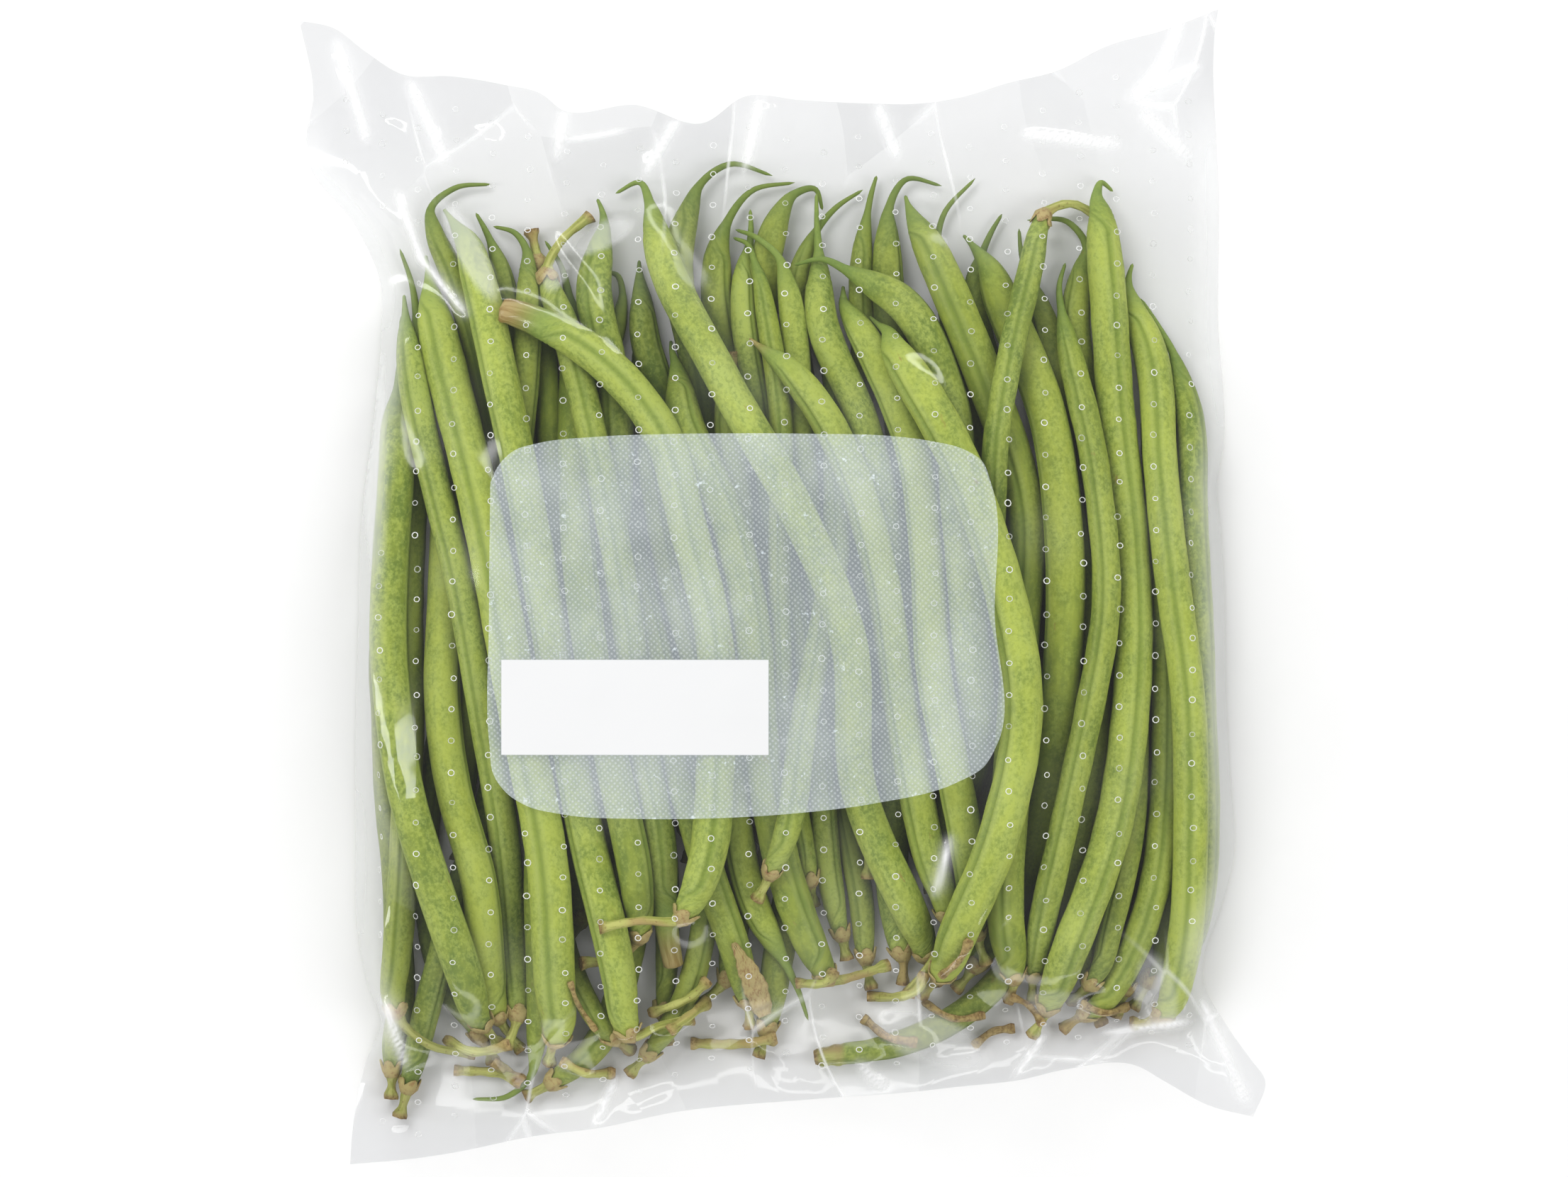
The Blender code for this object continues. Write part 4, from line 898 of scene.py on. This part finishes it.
def filmShader(tree, share, colour, haze, roughness, normal):
    # clear film with a thin gloss and a little white haze; it throws no shadow
    clear = addNode(tree, "BsdfTransparent", Color=colour)
    gloss = addNode(tree, "BsdfAnisotropic", Color=(0.95, 0.95, 0.95, 1),
                    Roughness=roughness, Normal=normal)
    veil = addNode(tree, "BsdfDiffuse", Color=(0.96, 0.965, 0.965, 1), Roughness=0.5)
    body = addNode(tree, "MixShader", in0=haze, in1=clear.outputs[0], in2=veil.outputs[0])
    film = addNode(tree, "MixShader", in0=share, in1=body.outputs[0], in2=gloss.outputs[0])
    passing = addNode(tree, "LightPath").outputs["Is Shadow Ray"]
    through = addNode(tree, "BsdfTransparent")
    toSurface(tree, addNode(tree, "MixShader", in0=passing, in1=film.outputs[0],
                            in2=through.outputs[0]))


def makeFilmMaterial():
    made, tree = newMaterial("clearFilm")
    place = objectPlace(tree)
    rimAway, endsAway, paintedSheenShare = separated(tree, readAttribute(tree, "filmPlace"))
    patchy = noise(tree, place, 48.0, 1.0)
    # facets: broad flat cells with sharp borders, in the slack film near the two ends
    warp = addNode(tree, "TexNoise", Vector=place, Scale=26.0, Detail=0.0).outputs["Color"]
    bent = addNode(tree, "Mix", {"data_type": "VECTOR"}, in0=0.018, in4=place, in5=warp)
    flat = scaled(tree, bent.outputs[1], (1, 0.62, 0.0))
    slackHere = ramp(tree, endsAway, 9.0, 26.0, 1.0, 0.0)
    cells = addNode(tree, "TexVoronoi", {"feature": "DISTANCE_TO_EDGE"}, Vector=flat, Scale=46.0)
    facets = addNode(tree, "TexVoronoi", Vector=flat, Scale=46.0).outputs["Color"]
    facet = addNode(tree, "SeparateColor", Color=facets).outputs[0]
    # painted highlight: white haze drawn along the facet borders as bright crease lines
    lines = ramp(tree, cells.outputs["Distance"], 0.0, 0.022, 1.0, 0.0)
    lines = times(tree, lines, ramp(tree, patchy, 0.46, 0.62))
    lines = times(tree, lines, slackHere)
    haze = calc(tree, "MULTIPLY_ADD", lines, 0.5, ramp(tree, patchy, 0.45, 0.8, 0.0, 0.03))
    # painted light: white haze along the side rims lifts the shadowed strip of floor seen beside the pods
    tight = calc(tree, "SUBTRACT", 1.0, slackHere)
    haze = plus(tree, haze, times(tree, ramp(tree, rimAway, 1.0, 6.5, 0.3, 0.0), tight))
    # painted highlights and reflections from the film grid: fold crests and whitish patches
    haze = plus(tree, haze, times(tree, paintedSheenShare, 0.75), clamp=True)
    haze = calc(tree, "MINIMUM", haze, 0.85)
    steep = calc(tree, "MULTIPLY_ADD", slackHere, 3.0, 0.2)
    height = calc(tree, "MULTIPLY_ADD", cells.outputs["Distance"], steep, times(tree, patchy, 0.8))
    bump = bumped(tree, height, 0.6, 0.0012)
    gloss = addNode(tree, "Fresnel", IOR=1.5, Normal=bump).outputs[0]
    share = calc(tree, "MINIMUM", gloss, 0.26)
    slackTint = mixColour(tree, ramp(tree, facet, 0.2, 0.9), (0.955, 0.957, 0.96, 1),
                          (0.885, 0.888, 0.893, 1))
    colour = mixColour(tree, slackHere, (0.945, 0.947, 0.95, 1), slackTint)
    filmShader(tree, share, colour, haze, ramp(tree, patchy, 0.3, 0.8, 0.06, 0.16), bump)
    return made


def makeUnderMaterial():
    # the sheet underneath, seen through the slack ends and from below
    made, tree = newMaterial("clearFilmUnder")
    place = objectPlace(tree)
    patchy = noise(tree, scaled(tree, place, (1, 0.5, 1)), 70.0, 1.0)
    bump = bumped(tree, patchy, 0.4, 0.0005)
    gloss = addNode(tree, "Fresnel", IOR=1.5, Normal=bump).outputs[0]
    colour = mixColour(tree, patchy, (0.95, 0.952, 0.955, 1), (0.92, 0.922, 0.927, 1))
    filmShader(tree, calc(tree, "MINIMUM", gloss, 0.5), colour, ramp(tree, patchy, 0.4, 0.8, 0.0, 0.05),
               ramp(tree, patchy, 0.3, 0.8, 0.08, 0.2), bump)
    return made


film = filmSheet("film_bag_fine", front, True)
under = filmSheet("film_under", back, False)
wear(film, makeFilmMaterial())
wear(under, makeUnderMaterial())
joined([film, under])
bpy.ops.object.mode_set(mode="EDIT")
bpy.ops.mesh.select_all(action="SELECT")
bpy.ops.mesh.remove_doubles(threshold=0.00001)
bpy.ops.object.mode_set(mode="OBJECT")
bpy.ops.object.shade_smooth_by_angle(angle=math.radians(85))
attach(film, "root")
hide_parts("film_bag")
print("film laid")

rimSet = {
    "step": (6.5, -2.45),
    "row": 5.58,
    "start": (0.6, 1.2),
    "columns": 16,  # counted from the middle, as the rows are
    "rows": 30,
    "reach": (88, 104),
    "radius": 0.5,
    "lip": 0.105,
    "margin": 4.0,
    "standOff": 0.03,
    "seed": 31,
}


def makeRims():
    # one flat ring, copied to each pin hole of an even lattice
    deselectAll()
    bpy.ops.mesh.primitive_torus_add(major_segments=10, minor_segments=3, major_radius=rimSet["radius"],
                                     minor_radius=rimSet["lip"])
    one = newest()
    bpy.ops.object.shade_smooth()
    ring = readSpots(one) * mm
    tree = treeOf([film])
    chance = random.Random(rimSet["seed"])
    rims = []
    for i in range(-rimSet["columns"], rimSet["columns"] + 1):
        for j in range(-rimSet["rows"], rimSet["rows"] + 1):
            px = rimSet["start"][0] + rimSet["step"][0] * i + chance.uniform(-0.25, 0.25)
            climb = rimSet["step"][1] * i + rimSet["row"] * j
            py = rimSet["start"][1] + climb + chance.uniform(-0.3, 0.3)
            if abs(px) > rimSet["reach"][0] or abs(py) > rimSet["reach"][1]:
                continue
            hit, normal = castDown(tree, px, py)
            nearest = np.hypot(plan[:, :, 0] - px, plan[:, :, 1] - py)
            if hit is None or toRim.ravel()[nearest.argmin()] < rimSet["margin"]:
                continue
            normal = np.array(normal)
            across = np.cross((0, 1, 0), normal)
            across /= np.linalg.norm(across)
            turned = np.stack([across, np.cross(normal, across), normal])
            size = chance.uniform(0.9, 1.12)
            rim = copyOf(one, "rim")
            sized = ring * (size, size * chance.uniform(0.85, 1.0), 0.7)
            writeSpots(rim, sized @ turned + np.array(hit) / mm + normal * rimSet["standOff"])
            addValues(rim, "rimMark", np.full(len(ring), chance.random()))
            rims.append(rim)
    bpy.data.objects.remove(one)
    print("film rims:", len(rims))
    made = joined(rims)
    made.name = "film_rims"
    return made


def makeRimMaterial():
    made, tree = newMaterial("rimFilm")
    mark = readAttribute(tree, "rimMark", "Fac")
    place = objectPlace(tree)
    grain = noise(tree, place, 900.0, 1.0)
    colour = mixColour(tree, grain, (0.97, 0.97, 0.96, 1), (0.93, 0.94, 0.93, 1))
    filmShader(tree, ramp(tree, grain, 0.3, 0.7, 0.05, 0.12), colour, ramp(tree, mark, 0.0, 1.0, 0.2, 0.65),
               ramp(tree, grain, 0.3, 0.7, 0.15, 0.3), bumped(tree, grain, 0.3, 0.0001))
    return made


rims = makeRims()
wear(rims, makeRimMaterial())
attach(rims, "root")

labelSet = {
    "outline": [(-51.4, 18.3), (-50.0, 21.2), (-47.2, 23.9), (-43.0, 25.2), (-33.0, 26.3), (-20.0, 26.8),
                (-7.5, 26.9), (5.0, 26.8), (19.0, 26.4), (26.0, 25.5), (31.5, 24.1), (34.8, 22.0),
                (36.3, 18.3), (37.0, -5.0), (37.4, -27.6), (35.2, -31.4), (30.3, -34.3), (15.8, -38.0),
                (1.2, -39.8), (-13.0, -40.6), (-25.0, -40.7), (-38.9, -39.9), (-45.1, -38.4),
                (-48.4, -36.3), (-50.8, -33.0), (-51.5, -28.0), (-51.6, -5.0)],
    "middle": (-7.2, -7.0),
    "halfSize": (44.3, 33.5),
    "cells": 76,
    "smoothing": 6,
    "standOff": 0.2,
    "thickness": 0.12,
    "panel": (-49.4, -29.6, -2.5, -12.9),  # left, low, right, high of the bare white field
    "panelEdge": 0.2,
}


def makeLabel():
    # a square grid drawn out to the outline, laid on the film
    deselectAll()
    cells = labelSet["cells"]
    bpy.ops.mesh.primitive_grid_add(x_subdivisions=cells, y_subdivisions=cells, size=2)
    label = newest()
    label.name = "label_fine"
    outline = np.array(labelSet["outline"]) + filmShift
    middle = np.array(labelSet["middle"]) + filmShift
    closed = np.vstack([outline, outline[:1]])
    runs = lengthsAlong(closed)
    fine = curveAt(runs, closed, np.linspace(0, runs[-1], 900)) - middle
    turns = np.arctan2(fine[:, 1] / labelSet["halfSize"][1], fine[:, 0] / labelSet["halfSize"][0])
    order = np.argsort(turns)
    spots = readSpots(label) * mm
    u, v = spots[:, 0], spots[:, 1]
    turn = np.arctan2(v, u)
    share = np.maximum(np.abs(u), np.abs(v))
    rim = np.stack([np.interp(turn, turns[order], fine[order, axis], period=2 * math.pi)
                    for axis in (0, 1)], axis=1)
    place = rim * share[:, None] + middle
    column, row = np.rint((spots[:, :2] + 1) / 2 * cells).astype(int).T
    laid = np.zeros((cells + 1, cells + 1))
    laid[row, column] = heightsBelow(treeOf([film]), place, 0.0)
    least = laid.copy()
    for step in range(labelSet["smoothing"]):
        laid = np.maximum(0.3 * laid + 0.7 * averaged(laid), least)
    writeSpots(label, np.column_stack([place, laid[row, column] + labelSet["standOff"]]))
    thicken(label, labelSet["thickness"], 1.0)
    bpy.ops.object.shade_smooth_by_angle(angle=math.radians(50))
    return label


def makeLabelMaterial():
    made, tree = newMaterial("labelSheet")
    place = objectPlace(tree)
    sideways, upward = separated(tree, place)[:2]
    left, low, right, high = (value * mm for value in labelSet["panel"])
    soft = labelSet["panelEdge"] * mm
    across, along = (times(tree, ramp(tree, run, first, first + soft),
                           ramp(tree, run, last, last + soft, 1.0, 0.0))
                     for run, first, last in ((sideways, left, right), (upward, low, high)))
    inside = times(tree, across, along)
    slant = addNode(tree, "Mapping", Vector=place, Rotation=(0, 0, math.radians(40)))
    lines, cross = (addNode(tree, "TexWave", {"wave_type": "BANDS", "bands_direction": axis},
                            Vector=slant.outputs[0], Scale=440.0, Distortion=0.4, Detail=1.0).outputs["Fac"]
                    for axis in "XY")
    mesh = times(tree, lines, cross)
    cloud = noise(tree, place, 60.0, 3.0)
    fleck = noise(tree, place, 700.0, 2.0, 0.7)
    alpha = plus(tree, ramp(tree, cloud, 0.35, 0.7, 0.15, 0.22), times(tree, mesh, 0.15))
    alpha = plus(tree, alpha, ramp(tree, fleck, 0.66, 0.75, 0.0, 0.32))
    alpha = calc(tree, "MAXIMUM", alpha, times(tree, inside, 0.985), clamp=True)
    colour = mixColour(tree, cloud, (0.80, 0.91, 1.0, 1), (0.88, 0.95, 0.96, 1))
    colour = mixColour(tree, times(tree, mesh, 0.35), colour, (0.93, 0.95, 0.93, 1))
    colour = mixColour(tree, inside, colour, (0.80, 0.805, 0.81, 1))
    toSurface(tree, addNode(tree, "BsdfPrincipled", Base_Color=colour, Alpha=alpha,
                            Roughness=ramp(tree, cloud, 0.3, 0.7, 0.42, 0.58), Specular_IOR_Level=0.4,
                            Normal=bumped(tree, fleck, 0.25, 0.00008)))
    return made


label = makeLabel()
wear(label, makeLabelMaterial())
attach(label, "root")
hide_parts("label")
print("label laid")

studioSet = {
    "floor": 9.0,
    "floorHeight": -0.0003,
    "power": 0.47,
    "world": 0.45,
    "distance": 1.6,  # from the camera down to the height it is framed for
    "framedHeight": 0.012,
    "frameWidth": 276.5,
    "sensor": 36,
    "middle": (0.3, -0.3),
    # name, place, width and length, power, mirrored in glossy skins
    "lights": [("softTop", (-0.55, 0.75, 1.25), (0.9, 0.7), 22, False),
               ("softRight", (0.95, -0.2, 1.05), (0.7, 1.1), 14, False),
               ("leftStrip", (-1.0, 0.0, 0.45), (0.09, 1.3), 7, True),
               ("farStrip", (0.1, 1.05, 0.45), (1.3, 0.09), 6, True),
               ("nearStrip", (0.0, -1.05, 0.5), (1.3, 0.12), 4, True)],
}


def makeFloor():
    deselectAll()
    bpy.ops.mesh.primitive_plane_add(size=studioSet["floor"], location=(0, 0, studioSet["floorHeight"]))
    floor = newest()
    floor.name = "studio_floor"
    bpy.ops.object.transform_apply(location=True, rotation=True, scale=True)
    made, tree = newMaterial("studioPaper")
    place = objectPlace(tree)
    grain = noise(tree, place, 90.0, 3.0)
    colour = mixColour(tree, grain, (0.88, 0.88, 0.88, 1), (0.9, 0.9, 0.9, 1))
    toSurface(tree, addNode(tree, "BsdfPrincipled", Base_Color=colour,
                            Roughness=ramp(tree, grain, 0.3, 0.7, 0.7, 0.8)))
    wear(floor, made)


def areaLight(name, place, size, power, mirrored):
    made = bpy.data.lights.new(name, "AREA")
    made.shape = "RECTANGLE"
    made.size, made.size_y = size
    made.energy = power * studioSet["power"]
    lamp = bpy.data.objects.new(name, made)
    lamp.location = place
    lamp.visible_glossy = mirrored  # the broad lights would show as pale patches in the film
    lamp.rotation_euler = (-Vector(place)).to_track_quat("-Z", "Y").to_euler()
    bpy.context.scene.collection.objects.link(lamp)


makeFloor()
for light in studioSet["lights"]:
    areaLight(*light)
world = bpy.data.worlds.new("studioWorld")
world.use_nodes = True
background = world.node_tree.nodes["Background"]
background.inputs["Color"].default_value = (1.0, 1.0, 1.0, 1)
background.inputs["Strength"].default_value = studioSet["world"]
bpy.context.scene.world = world
bpy.context.scene.view_settings.view_transform = "Standard"

lens = bpy.data.cameras.new("camera")
lens.sensor_fit = "HORIZONTAL"
lens.sensor_width = studioSet["sensor"]
lens.lens = studioSet["sensor"] * studioSet["distance"] / (studioSet["frameWidth"] * mm)
lens.clip_end = 20
camera = bpy.data.objects.new("camera", lens)
camera.location = (studioSet["middle"][0] * mm, studioSet["middle"][1] * mm,
                   studioSet["distance"] + studioSet["framedHeight"])
bpy.context.scene.collection.objects.link(camera)
bpy.context.scene.camera = camera
